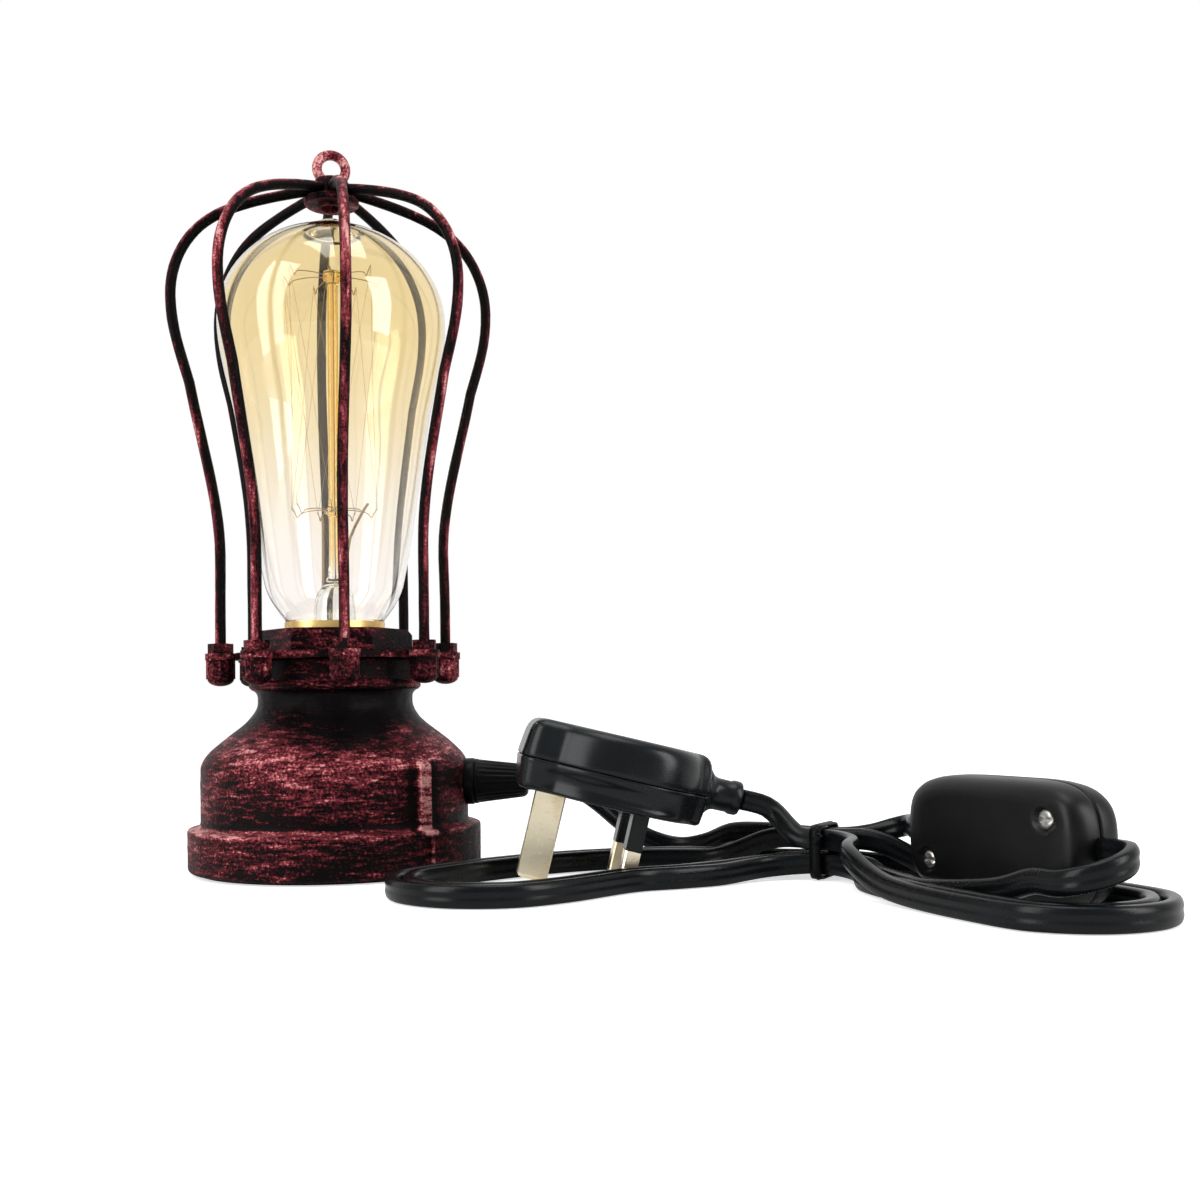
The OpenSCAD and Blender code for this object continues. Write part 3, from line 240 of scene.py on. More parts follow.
# %% Route of the cord, in millimetres
cord_thick, cord_wide = 3.4, 5.4
lane, low_z, high_z, tie_lift = 4.5, 2.7, 8.75, 1.3
tie_x, tie_y, tie_turn = 132.0, -36.0, math.radians(-28)
right_bend_r, right_bend_len = 52.0, 34.0
left_bend_r, left_bend_len = 62.0, 84.0
left_end, right_end, turn_rise = -95.0, 84.0, 6.0
switch_start, switch_len, switch_mid_z = 31.0, 57.0, 14.0
left_taper, right_taper = 42.0, 40.0
gland_tip_x, gland_z = 54.2, 24.0
# Each row: lane at the tie, layer at the tie, offset in the left loop, offset in the right loop, share of the
# taper, where a top row begins to come down, and over what length.
near_1 = (0, 0, -20, -16.5, 1, 0, 1)
near_2 = (-1, 0, -24.2, -20.7, 0.87, 0, 1)
near_3 = (-1, 1, -3, -24.9, 0.8, 27, 30)
far_1 = (0, 1, 20, 11, 0.88, 13, 14)
far_2 = (1, 0, 24.2, 15.2, 0.8, 0, 1)
stations = np.array([-66, -46, -29, -15, -4, 4, 14, 28, 50], float)


def line_turn(s):
    """How much of s lies in the bend, the bend's curvature on that side, and the direction of the line at s: it
    turns evenly over the bend on each side of the tie, then runs straight."""
    s = np.asarray(s, float)
    bend = np.where(s >= 0, np.minimum(s, right_bend_len), np.maximum(s, -left_bend_len))
    curve = np.where(s >= 0, 1 / right_bend_r, 1 / left_bend_r)
    return bend, curve, tie_turn - bend * curve


def place(s, o, z):
    """Point at s along the bent line, o beside it and z high. On the bend it is a point of a circle."""
    bend, k, d = line_turn(s)
    rest = np.asarray(s, float) - bend
    x = tie_x + (math.sin(tie_turn) - np.sin(d)) / k + rest * np.cos(d) - o * np.sin(d)
    y = tie_y + (np.cos(d) - math.cos(tie_turn)) / k + rest * np.sin(d) + o * np.cos(d)
    return np.stack(np.broadcast_arrays(x, y, np.asarray(z, float)), -1)


def run(row, s):
    """A row of the bundle at stations s: in its lane at the tie, eased out to its loops on both sides."""
    goal, taper = np.where(s < 0, row[2], row[3]), np.where(s < 0, left_taper, right_taper)
    offset = row[0] * lane + (goal - row[0] * lane) * ease((np.abs(s) - 3) / taper / row[4])
    height = tie_lift * (1 - ease((np.abs(s) - 6) / 18))
    height = height + (high_z + (low_z - high_z) * ease((np.abs(s) - row[5]) / row[6]) if row[1] else low_z)
    return place(s, offset, height)


def turn(s, start, stop, side):
    """Half a circle at the end of a loop, from offset start to offset stop: r sin a along, r cos a across."""
    a = np.linspace(0, np.pi, 6)
    middle, r = (start + stop) / 2, (start - stop) / 2
    return place(s + side * abs(r) * np.sin(a), middle + r * np.cos(a), low_z)


def first_rise(s):
    """How far the first row has come up at s on its way to the switch."""
    return turn_rise * ease((s - 62) / 26)


# %% [markdown]
# The plug stands on the tips of its pins. Its earth pin is longer than its two line pins, so it leans, and the
# pins' lengths give the angle of the lean and the height of its face. The switch lies further along the bent
# line. Both places are worked out here, because the cord has to end exactly at them.

# %% Where the plug and the switch stand
plug_len, relief_len, plug_t, plug_w = 49.0, 9.5, 18.0, 46.0
line_pin_len, earth_pin_len, pin_row, pin_gap, earth_w, pin_t = 17.7, 22.73, 22.23, 22.23, 7.9, 4.0
line_pin_a = plug_len - 16.6
earth_pin_a = line_pin_a - pin_row
plug_turn = math.radians(186)
pin_lean = math.atan((earth_pin_len - line_pin_len) / (pin_row - (earth_w - pin_t) / 2))
plug_face_z = (line_pin_a + pin_t / 2) * math.sin(pin_lean) + line_pin_len * math.cos(pin_lean)
relief_tip = place(-22, -3, 0)


def heading(turn, rise=0.0):
    """Unit vector that points to turn round Z and rises by rise: (cos cos, sin cos, sin)."""
    return np.array([math.cos(turn) * math.cos(rise), math.sin(turn) * math.cos(rise), math.sin(rise)])


def plug_spot(a, out):
    """Point of the plug's middle plane: a runs from the earth end to the cord end, out up from its face."""
    along = (plug_len + relief_len - a) * math.cos(pin_lean) - (out - plug_t / 2) * math.sin(pin_lean)
    high = plug_face_z - a * math.sin(pin_lean) + out * math.cos(pin_lean)
    return relief_tip + along * heading(plug_turn) + [0, 0, high]


plug_lead_end = plug_spot(plug_len + relief_len, plug_t / 2)
plug_lead_dir = -heading(plug_turn, pin_lean)
switch_mid = place(switch_start + switch_len / 2, 0, switch_mid_z)
switch_turn = float(line_turn(switch_start + switch_len / 2)[2])
print("plug end", plug_lead_end.round(2), "switch middle", switch_mid.round(2))

# %% [markdown]
# The cord is two lists of points. The first leads from the gland through the tie to the switch. The second
# leaves the switch, makes the rows and half circles of the bundle, and comes out of the tie and up to the plug.
# Only the points that matter are written down, and the smooth curve does the rest. It can dip a little
# between them, so the second path is kept at least half the cord's width above the floor.

# %% The two stretches of the cord
lead_bend = [[67, 0.6, 22.2], [74, 2.8, 17.4], [81, 5.6, 11.2], [88.5, 7.4, 6.4], [97, 5.8, 4.2],
             [104.5, 0.2, 5.8], [111, -7.6, 9.2], [117.4, -16, 10.1], [124, -23.8, 10.2]]
lead_rise = [[-21, 6, -3], [-17, 7.4, -1.6], [-13.4, 7.8, -0.5], [-10.4, 6, 0], [-7.6, 2.8, 0]]
lead_route = np.concatenate([
    [[28, 0, gland_z], [41, 0, gland_z], [gland_tip_x, 0, gland_z], [gland_tip_x + 6, 0, gland_z]], lead_bend,
    place(np.array([-5, 4]), lane, high_z + tie_lift),
    [place(switch_start + a, b, switch_mid_z + c) for a, b, c in lead_rise],
    [switch_mid + heading(switch_turn) * d for d in (-switch_len / 2 - 4, -switch_len / 2)]])
switch_end, switch_turn_r = switch_start + switch_len, 8.25
turn_a = np.radians(np.arange(30, 181, 30))
turn_z = low_z + turn_rise + (switch_mid_z - low_z - turn_rise) * ease(1.1 - np.arange(1, 7) / 6)
tie_top = place(-4, -lane, high_z + tie_lift + 0.3)
tie_heading = heading(float(line_turn(-4)[2]))
back = np.array([86.0, 74.0])
hank_route = np.concatenate([
    place(np.array([switch_end, switch_end + 4]), 0, switch_mid_z),
    place(switch_end + 4.6 + switch_turn_r * np.sin(turn_a), switch_turn_r * (np.cos(turn_a) - 1), turn_z),
    place(back, near_1[3], low_z + first_rise(back)),
    run(near_1, stations[::-1]), turn(left_end, near_1[2], far_1[2], -1),
    run(far_1, stations), turn(right_end, far_1[3], near_2[3], 1),
    run(near_2, stations[::-1]), turn(left_end, near_2[2], far_2[2], -1),
    run(far_2, stations), turn(right_end, far_2[3], near_3[3], 1),
    run(near_3, stations[::-1][:4]),
    cubic(tie_top, tie_top - tie_heading * 5 + [0, 0, 1], plug_lead_end + plug_lead_dir * 11,
          plug_lead_end + plug_lead_dir * 5, 6),
    [plug_lead_end]])
lead_path = smooth_path(lead_route * mm, 0.0015)
hank_path = smooth_path(hank_route * mm, 0.0018)
hank_path[:, 2] = np.maximum(hank_path[:, 2], low_z * mm)
print("cord lengths in mm:", round(path_length(lead_path) / mm, 1), round(path_length(hank_path) / mm, 1))

# %% [markdown]
# The section is two rounds side by side with a shallow valley between them, as in twin flex, so each wide side
# carries a faint groove that catches the light. Its height varies with |sin| to a small power, which squares
# the outline off.

# %% Cord meshes
def cord_section(thick, wide, n=40):
    """A flat oval: across = thick/2 cos^0.55, upward = wide/2 sin^0.8, pinched by 15 % at the middle."""
    a = ring_angles(n) + np.pi / n
    across = thick / 2 * np.sign(np.cos(a)) * np.abs(np.cos(a)) ** 0.55
    upward = wide / 2 * np.sign(np.sin(a)) * np.abs(np.sin(a)) ** 0.8
    across *= 1 - 0.15 * np.exp(-(upward / (0.10 * wide)) ** 2)
    return np.stack([across, upward], -1)


section = cord_section(cord_thick * mm, cord_wide * mm)
cord_lead = make_piece("flex_to_switch", [tube_part(sweep(lead_path, section, (0, 0, 1)))])
cord_hank = make_piece("flex_to_plug", [tube_part(sweep(hank_path, section, (0, 0, 1)))])
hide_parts("cord_lead", "cord_tail")
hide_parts("cord_hank")

# %% [markdown]
# ## Finishes
# A finish is a small graph of shader nodes. Writing it as Python expressions keeps it readable: Wire holds one
# socket and turns +, - and * into Math nodes. Any other node comes from Graph.node.

# %% A short way to write shader nodes
def maths(operation):
    """The method that adds a Math node of this operation to two values."""
    return lambda self, other: self.graph.node("ShaderNodeMath", {"operation": operation}, self, other)


class Wire:
    """A node's output that takes part in sums and products like a number."""
    __add__ = __radd__ = maths("ADD")
    __mul__ = __rmul__ = maths("MULTIPLY")
    __sub__ = maths("SUBTRACT")

    def __init__(self, graph, socket):
        self.graph, self.socket = graph, socket

    def __rsub__(self, other):
        return self.graph.node("ShaderNodeMath", {"operation": "SUBTRACT"}, other, self)

    def clamp(self):
        """The value, held between 0 and 1."""
        return self.graph.node("ShaderNodeClamp", {}, self)

    def ramp(self, low, high):
        """0 below low, 1 above high, smooth between."""
        return self.graph.node("ShaderNodeMapRange", {"interpolation_type": "SMOOTHSTEP"},
                               self, {"From Min": low, "From Max": high})


class Graph:
    """The node tree of one new material or of the world."""

    def __init__(self, owner):
        """owner is a new material's name, or a world."""
        self.material = bpy.data.materials.new(owner) if isinstance(owner, str) else owner
        self.material.use_nodes = True
        self.tree = self.material.node_tree
        self.tree.nodes.clear()

    def node(self, kind, settings, *values, out=0):
        """Adds a node: settings first, then its sockets, by order or, in a dict, by name. Returns an output."""
        new = self.tree.nodes.new(kind)
        for key, value in settings.items():
            setattr(new, key, value)
        named = {}
        for i, value in enumerate(values):
            named.update(value if isinstance(value, dict) else {i: value})
        for key, value in named.items():
            if isinstance(value, Wire):
                self.tree.links.new(value.socket, new.inputs[key])
            else:
                new.inputs[key].default_value = value
        return Wire(self, new.outputs[out]) if new.outputs else None

    def object_point(self, scale=(1, 1, 1), centre=(0, 0, 0), turn=(0, 0, 0)):
        """Object coordinates, moved so that centre is the origin and stretched by scale."""
        point = self.node("ShaderNodeTexCoord", {}, out="Object")
        if any(centre):
            point = self.node("ShaderNodeVectorMath", {"operation": "SUBTRACT"}, point, tuple(centre))
        return self.node("ShaderNodeMapping", {}, point, {"Scale": scale, "Rotation": turn})

    def noise(self, point, scale, detail=3.0, roughness=0.55):
        """Soft noise of about 0 to 1, scale lumps to the metre; detail adds finer layers."""
        return self.node("ShaderNodeTexNoise", {}, {"Vector": point, "Scale": scale, "Detail": detail,
                                                    "Roughness": roughness})

    def mix(self, factor, a, b):
        """Colour a where factor is 0 and b where it is 1."""
        return self.node("ShaderNodeMix", {"data_type": "RGBA"}, {0: factor, 6: a, 7: b}, out=2)

    def bump(self, height, distance, strength=1.0):
        """A normal tilted by the slope of height, whose full rise is distance in metres."""
        return self.node("ShaderNodeBump", {}, {"Strength": strength, "Distance": distance, "Height": height})

    def shader(self, **sockets):
        """The general surface shader, its sockets written with _ for a space."""
        names = {k.replace("_", " "): v for k, v in sockets.items()}
        return self.node("ShaderNodeBsdfPrincipled", {}, names)

    def finish(self, shader):
        """Joins the shader to the output and gives the material back."""
        self.node("ShaderNodeOutputMaterial", {}, shader)
        return self.material


def rgb(r, g, b):
    """A colour written as on a screen, 0 to 255, turned into the linear values that a shader takes."""
    c = np.array([r, g, b]) / 255
    c = np.where(c <= 0.04045, c / 12.92, ((c + 0.055) / 1.055) ** 2.4)
    return (*c.tolist(), 1.0)


# %% [markdown]
# ### Rubbed red over black
# The iron is painted black, and a nearly dry brush with dark red and then with pink paint is dragged round it.
# The paint catches on high spots: it breaks into streaks along the stroke and into grains of the casting. So
# one mask has long noise stretched round the body, one has fine grains, and ramps cut their sum into coats.
# The palest, whitish pink coat on top is a painted highlight: glints of light on the highest paint. A
# piece may carry an attribute that is added to the sum: it is high on its edges, where the brush leaves the
# most, and it also holds painted highlights and painted shade. The bump comes from the same grains, so the
# colour and the relief agree.

# %% Rubbed red finish
black_coat, red_coat, pink_coat, painted_glint_coat = rgb(7, 4, 5), rgb(62, 18, 24), rgb(142, 58, 66), rgb(206, 150, 148)


def rubbed_red(name, stroke, bare, grain, turn=(0, 0, 0), edges=0.0, patches=1.9, specks=2.1):
    """cover is a sum of noises less their mean, and each coat starts where it passes its own level above bare.
    stroke squeezes the streaks along the axis with the larger number. bare is how much black is left. The
    palest coat is a painted highlight, and edges weighs the attribute, which holds painted light as well."""
    g = Graph(name)
    plain = g.object_point()
    streak = g.noise(g.object_point(scale=stroke, turn=turn), 105, detail=5, roughness=0.72)
    closer = tuple(2.2 * v for v in stroke)
    thin = g.noise(g.object_point(scale=closer, turn=turn), 120, detail=3, roughness=0.6)
    broad = g.noise(g.object_point(scale=(1, 1, 2.0), centre=(0.3, 0.2, 0.1)), 26, detail=2)
    fine = g.noise(plain, grain, detail=4, roughness=0.75)
    cover = (streak - 0.5) * 2.1 + (thin - 0.5) * 0.9 + (broad - 0.5) * patches + (fine - 0.5) * specks
    if edges:
        cover = cover + g.node("ShaderNodeAttribute", {"attribute_name": "rub_and_light"}, out="Fac") * edges
    red = cover.ramp(bare - 0.13, bare + 0.13)
    pink = cover.ramp(bare + 0.08, bare + 0.58)
    # The palest, whitish pink coat is a painted highlight: glints of light on the highest paint.
    glint = cover.ramp(bare + 0.40, bare + 0.80)
    colour = g.mix(glint, g.mix(pink, g.mix(red, black_coat, red_coat), pink_coat), painted_glint_coat)
    pits = g.noise(plain, grain * 0.55, detail=4, roughness=0.75)
    normal = g.bump(pits * 0.8 + red * 0.6 + thin * 0.3, 0.00025)
    return g.finish(g.shader(Base_Color=colour, Roughness=0.3 + 0.06 * red + 0.2 * fine, Metallic=0.5 * pink,
                             Normal=normal, Specular_IOR_Level=0.05))


# %% [markdown]
# ### Black plastics
# The cord, the plug, the gland and the switch are all black, and they differ in how they shine. PVC flex is
# glossy with soft ripples, the plug is polished with faint clouds of handling, and the switch is satin.

# %% Black plastic finishes
def black_plastic(name, tone, rough, cloud, relief, shine, grain=2600.0):
    """tone is the colour, rough the roughness, and clouds of noise shift both a little. shine is how much the
    surface mirrors."""
    g = Graph(name)
    point = g.object_point()
    clouds = g.noise(point, cloud, detail=4, roughness=0.6)
    speck = g.noise(point, grain, detail=2)
    light = tuple(min(1.0, c * 1.7) for c in tone[:3]) + (1.0,)
    colour = g.mix((clouds * 0.8 + speck * 0.3).ramp(0.35, 0.8), tone, light)
    roughness = rough + (clouds - 0.5) * 0.16 + (speck - 0.5) * 0.06
    normal = g.bump(speck * 0.6 + clouds, relief)
    return g.finish(g.shader(Base_Color=colour, Roughness=roughness, Normal=normal, Specular_IOR_Level=shine))


flex_black = black_plastic("flex_black", rgb(7, 9, 11), 0.27, cloud=90, relief=0.00003, shine=0.17)
plug_black = black_plastic("plug_black", rgb(11, 14, 16), 0.27, cloud=45, relief=0.00001, shine=0.22)
switch_black = black_plastic("switch_black", rgb(9, 9, 10), 0.36, cloud=70, relief=0.00002, shine=0.2)
gland_black = black_plastic("gland_black", rgb(5, 5, 6), 0.4, cloud=80, relief=0.00003, shine=0.09)
pad_black = black_plastic("pad_black", rgb(24, 23, 23), 0.85, cloud=120, grain=1500, relief=0.0002, shine=0.2)


# %% [markdown]
# ### Metals
# Brass and steel are brushed one way, with tarnish in clouds that darkens and dulls them.

# %% Metal finishes
def brushed_metal(name, colour, tarnish, rough):
    """Brush lines are noise squeezed along Z, and tarnish comes where clouds of noise pass a level."""
    g = Graph(name)
    lines = g.noise(g.object_point(scale=(1, 1, 12)), 500, detail=3)
    clouds = g.noise(g.object_point(), 90, detail=4, roughness=0.65)
    spots = (clouds * 0.8 + lines * 0.25).ramp(0.5, 0.78)
    return g.finish(g.shader(Base_Color=g.mix(spots, colour, tarnish), Metallic=1.0,
                             Roughness=rough + 0.18 * spots + 0.1 * lines,
                             Normal=g.bump(lines, 0.00003)))


pin_brass = brushed_metal("pin_brass", rgb(250, 238, 208), rgb(226, 196, 138), 0.24)
lamp_brass = brushed_metal("lamp_brass", rgb(224, 190, 122), rgb(168, 128, 72), 0.3)
bright_steel = brushed_metal("bright_steel", rgb(196, 194, 190), rgb(120, 118, 114), 0.3)
wire_metal = brushed_metal("wire_metal", rgb(150, 132, 106), rgb(108, 88, 64), 0.35)
tin_solder = brushed_metal("tin_solder", rgb(184, 182, 174), rgb(116, 112, 104), 0.38)


# %% [markdown]
# ### Glass
# The bulb is stained from outside: amber at the crown and nearly clear near the cap. Base Color goes up the
# glass from clear to amber. Clear glass bends light, and lamps don't reach what is behind it, so rays that ask
# for a lamp pass through a plain transparent shader.

# %% Glass finishes
# Painted shade: towards the crown the glass turns this darker brown where it is seen edge on, for the light
# lost on the long way through the stained wall.
rim_shade_brown = (0.50, 0.30, 0.12, 1)


def glass(name, low_colour, high_colour, low_m, high_m, shade, rim=0.0):
    """Colour rises from low_colour at the height low_m to high_colour at high_m, with ripples in the wall.
    shade is what a lamp's ray keeps, and rim how much the upper glass is painted darker brown where
    it is seen edge on: painted shade."""
    g = Graph(name)
    point = g.node("ShaderNodeTexCoord", {}, out="Object")
    height = g.node("ShaderNodeSeparateXYZ", {}, point, out="Z")
    wave = g.noise(g.object_point(), 40, detail=1)
    up = (height + (wave - 0.5) * 0.02).ramp(low_m, high_m)
    grazing = g.node("ShaderNodeLayerWeight", {}, {"Blend": 0.5}, out="Facing").ramp(0.72, 1.0)
    tint = g.mix(up, low_colour, high_colour)
    tint = g.mix(grazing * up * rim, tint, rim_shade_brown)
    body = g.shader(Base_Color=tint, Roughness=0.015, IOR=1.45,
                    Transmission_Weight=1.0, Normal=g.bump(wave, 0.0002, 0.3))
    through = g.node("ShaderNodeBsdfTransparent", {}, shade)
    lamp_ray = g.node("ShaderNodeLightPath", {}, out="Is Shadow Ray")
    return g.finish(g.node("ShaderNodeMixShader", {}, lamp_ray, body, through))


bulb_amber = glass("bulb_amber", (0.995, 0.965, 0.94, 1), (0.935, 0.825, 0.58, 1), 0.074, 0.155,
                   (0.98, 0.95, 0.86, 1), rim=0.8)
stem_clear = glass("stem_clear", (0.95, 0.97, 0.96, 1), (0.90, 0.66, 0.26, 1), 0.080, 0.096,
                   (0.95, 0.95, 0.93, 1))


# %% [markdown]
# ### Pale and coloured solids
# The lampholder's insulator, the fuse and the cores' jackets are hidden most of the time, and are plain matt
# solids with small flecks.

# %% Porcelain, fuse and core finishes
def matt(name, colour, fleck, rough):
    """Flecks come where noise passes a level, and the noise roughens the surface a little too."""
    g = Graph(name)
    n = g.noise(g.object_point(), 300, detail=3)
    return g.finish(g.shader(Base_Color=g.mix(n.ramp(0.4, 0.75), colour, fleck), Roughness=rough + 0.1 * n,
                             Normal=g.bump(n, 0.00005)))


holder_pale = matt("holder_pale", rgb(228, 222, 208), rgb(205, 198, 182), 0.4)
fuse_pale = matt("fuse_pale", rgb(232, 228, 218), rgb(214, 208, 196), 0.4)
core_brown = matt("core_brown", rgb(112, 66, 36), rgb(88, 50, 28), 0.45)
core_blue = matt("core_blue", rgb(44, 90, 156), rgb(34, 70, 126), 0.45)
print("materials:", len(bpy.data.materials))

# %% [markdown]
# ## The cast foot
# The reducer is an iron casting turned round one axis, so its skin is a profile carried round that axis. The
# profile goes up outside, over the band, the swelling shoulder, the neck and the bead to the rim, and comes
# down again inside, so the shell is closed and has no pole. Two cast ribs stand on the body. They are made in
# the same surface: where the angle is near a rib, the radius rises to the rib's own. Sand casting leaves fine
# lumps, so a sum of waves moves the skin by a few hundredths of a millimetre.

# %% Profile helpers
def arc(cx, cy, r, first, last, n=8):
    """An arc of n steps round (cx, cy): r times (cos, sin) of angles from first to last, in degrees."""
    return [cx, cy] + polar(r, np.radians(np.linspace(first, last, n + 1)))


def spaced(line, step):
    """The same broken line, with points no further apart than step and every corner kept."""
    line = np.asarray(line, float)
    counts = np.maximum(1, np.ceil(steps(line) / step).astype(int))
    cuts = [a + (b - a) * (np.arange(n) / n)[:, None] for a, b, n in zip(line[:-1], line[1:], counts)]
    return np.concatenate(cuts + [line[-1:]])


def waves(points, seed, count=24, smallest=1.2, largest=9.0):
    """Sum of count plane waves with seeded directions, lengths in millimetres and phases, about -1 to 1."""
    draw = np.random.default_rng(seed)
    direction = draw.normal(size=(count, 3))
    direction /= np.linalg.norm(direction, axis=1, keepdims=True)
    length = draw.uniform(smallest, largest, count)
    phase = draw.uniform(0, 2 * np.pi, count)
    angle = points @ (direction * 2 * np.pi / length[:, None]).T + phase
    return np.sin(angle).sum(-1) * (2 / count) ** 0.5 / 1.5


def lathe(radius, height, angles):
    """Rings round the upright axis: x = r cos a, y = r sin a, z = height. r may change with the angle too."""
    radius, height = np.broadcast_arrays(radius + 0 * angles, height + 0 * angles)
    return np.stack([radius * np.cos(angles), radius * np.sin(angles), height], -1)


def turned_part(line, n):
    """A closed part from a line of (radius, height) in millimetres that is turned in n steps."""
    line = np.asarray(line, float)
    return tube_part(lathe(line[:, :1], line[:, 1:], ring_angles(n)) * mm)


# %% [markdown]
# Two more helpers finish a piece. One stores the paint that the brush left, with painted highlights and
# painted shade added, as an attribute of its mesh. The glass and the wires in it ride on the body named bulb,
# so they move with the bulb.

# %% Paint attribute and dressing
def set_rub_and_light(piece, values):
    """Stores how much paint the brush left at each point, with painted highlights and painted shade added,
    from -1.5 for none to 1.8 for all.
    """
    piece.data.attributes.new("rub_and_light", "FLOAT", "POINT").data.foreach_set("value", np.asarray(values, np.float32))


def dress(piece, material, slot, *solids, body="lamp"):
    """Gives a piece its material and, if it is new, the solid parts it replaces and its body. slot is not used.
    """
    piece.data.materials.clear()
    piece.data.materials.append(material)
    if solids:
        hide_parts(*solids)
    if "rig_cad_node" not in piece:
        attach(piece, body)
    return piece


# %% Outer and inner wall of the reducer
band_r, band_h, body_r, shoulder_z, neck_z, neck_r = 40.5, 12.6, 36.9, 28.5, 47.0, 21.5
bead_z, bead_h, bead_r, mouth_r, rim_z = 50.4, 2.3, 24.0, 22.8, 58.8
bore_r, hollow_r = 16.75, 32.5
share = np.linspace(0, 1, 34)[:, None]
shoulder = np.concatenate([neck_r + (body_r - neck_r) * (1 + np.cos(np.pi * share)) / 2,
                           shoulder_z + (neck_z - shoulder_z) * share], -1)
wall = np.concatenate([
    [[37.7, 2.9], [37.7, 0.8], [38.3, 0.6]],
    arc(band_r - 1.5, 2.1, 1.5, -90, 0), arc(band_r - 1, band_h - 1, 1, 0, 82),
    arc(body_r + 1.9, band_h + 1.9, 1.9, -97, -180), shoulder, arc(neck_r + 2.2, bead_z - 2.2, 2.2, 180, 95),
    arc(bead_r - 1.0, bead_z + 1.1, 1.0, -85, 85),
    arc(mouth_r + 0.8, bead_z + bead_h + 0.6, 0.8, -100, -180, 4),
    [[mouth_r, rim_z - 1]], arc(mouth_r - 0.7, rim_z - 0.7, 0.7, 0, 90, 5)])
outer = spaced(wall, 0.7)
inner = spaced([[bore_r, rim_z], [bore_r, neck_z - 0.6], [hollow_r, shoulder_z - 0.5], [hollow_r, 3.1],
                [37.0, 3.0]], 3.0)
profile = np.concatenate([outer, inner])
print("reducer profile:", len(outer), "outer points,", len(inner), "inner points")

# %% Where the ribs stand
rib_turn, rib_half, rib_proud, rib_top = math.radians(-41.5), 2.0, 1.4, 31.0
near_rib = np.radians(np.arange(-4.4, 4.41, 0.2))
angles = np.linspace(0, 2 * np.pi, 420, endpoint=False)
angles = np.unique(np.concatenate([angles] + [(rib_turn + k * np.pi + near_rib) % (2 * np.pi) for k in (0, 1)]))
radius, height = np.broadcast_arrays(profile[:, :1], profile[:, 1:] + 0 * angles)
away = np.minimum(*(np.abs((angles - rib_turn - k * np.pi + np.pi) % (2 * np.pi) - np.pi) for k in (0, 1)))
across_rib = away[None] * body_r
on_body = np.arange(len(profile))[:, None] < len(outer)
rib_height = np.clip((rib_top - height) / 2.2, 0, 1) * (height > band_h - 1.2)
rib = (1 - ease((across_rib - rib_half + 0.35) / 0.7)) * ease(rib_height * 1.4) * on_body
on_band = ease((height - 2.2) / 1.5) * (height <= band_h - 1.2)
seam = (1 - ease((across_rib * band_r / body_r - 0.35) / 0.4)) * on_band
print("rings of", len(angles), "points, finer near the ribs")

# %% Reducer with its ribs and casting lumps
seam_proud, fine_lump, broad_lump = 0.35, 0.055, 0.08
radius = np.maximum(radius, radius + (body_r + rib_proud - radius) * rib) + seam_proud * seam * on_body
rings = lathe(radius, height, angles)
lumps = waves(rings, 5, smallest=1.4) * fine_lump + waves(rings, 6, 16, 9, 40) * broad_lump
skin = on_body * ease((height - 1.5) / 2) * ease((rim_z - 0.5 - height) / 2)
rings = rings + lathe(1, 0 * height, angles) * (lumps * skin)[..., None]
reducer = make_piece("reducer_casting", [loop_part(rings * mm)])

# %% [markdown]
# How much red shows changes with the height, as the table gives: much on the band's edge and the swelling
# body, none in the neck. The rib stands proud and takes more, and the wall right beside it is kept dark. Three
# soft spots are painted light: painted highlights on the shoulder at the left and at the right, towards the
# lamps, and a painted shade at the front of the upper shoulder between them.

# %% Where the red lies, with painted highlights and painted shade
red_by_height = np.array([
    [0, -0.1], [2, 0.1], [11, 0.1], [12.2, 1.0], [13.2, 0.8], [14.2, -0.9], [15.4, 0.0], [18, 0.3], [25, 0.35],
    [28, 0.45], [31, 0.7], [35, 0.65], [40, 0.1], [44, -0.4], [47.5, -0.8], [49.6, -0.7], [50.6, 0.5],
    [52.6, 0.5], [53.6, -0.3], [58.8, -0.2]])


def soft_spot(turn, z, wide, tall):
    """A soft spot on the wall: exp(-(da / wide)^2 - (dz / tall)^2), da the angle from turn, dz the height
    from z."""
    off = (angles - math.radians(turn) + np.pi) % (2 * np.pi) - np.pi
    return np.exp(-(off / wide) ** 2 - ((height - z) / tall) ** 2)


beside = np.exp(-((across_rib - rib_half - 2.0) / 1.1) ** 2) * rib_height * on_body
# Painted shade at the front of the upper shoulder, and painted highlights on the shoulder at the left and the
# right, towards the lamps.
front_painted_shade = soft_spot(-68, 42, 0.55, 7.0)
side_painted_highlights = soft_spot(-119, 36, 0.4, 5.0) + 0.6 * soft_spot(-28, 35, 0.35, 5.0)
rub_and_light = np.interp(height, red_by_height[:, 0], red_by_height[:, 1])
rub_and_light = rub_and_light + 1.5 * rib + 0.9 * seam * on_body - 1.3 * beside - 1.5 * front_painted_shade + 0.7 * side_painted_highlights
set_rub_and_light(reducer, np.clip(rub_and_light, -1.5, 1.8).ravel())
cast_red = rubbed_red("rubbed_casting", stroke=(1, 1, 6), bare=0.08, grain=1300, edges=0.42, patches=0.9)
dress(reducer, cast_red, "rubbed_red", "reducer_body")
print("paint left on the foot, mean:", round(float(rub_and_light.mean()), 2))

# %% [markdown]
# ## The cage
# Each rod is one round wire bent by hand, and the same eight rods stand round the axis. The path goes straight
# up from the flange, and four cubic curves take it out to the belly, in over the bulb's shoulder and down into
# the hub's boss. A slow wave moves each rod a few tenths of a millimetre, so no two are quite the same. It
# fades out towards both ends, where the rod is held.

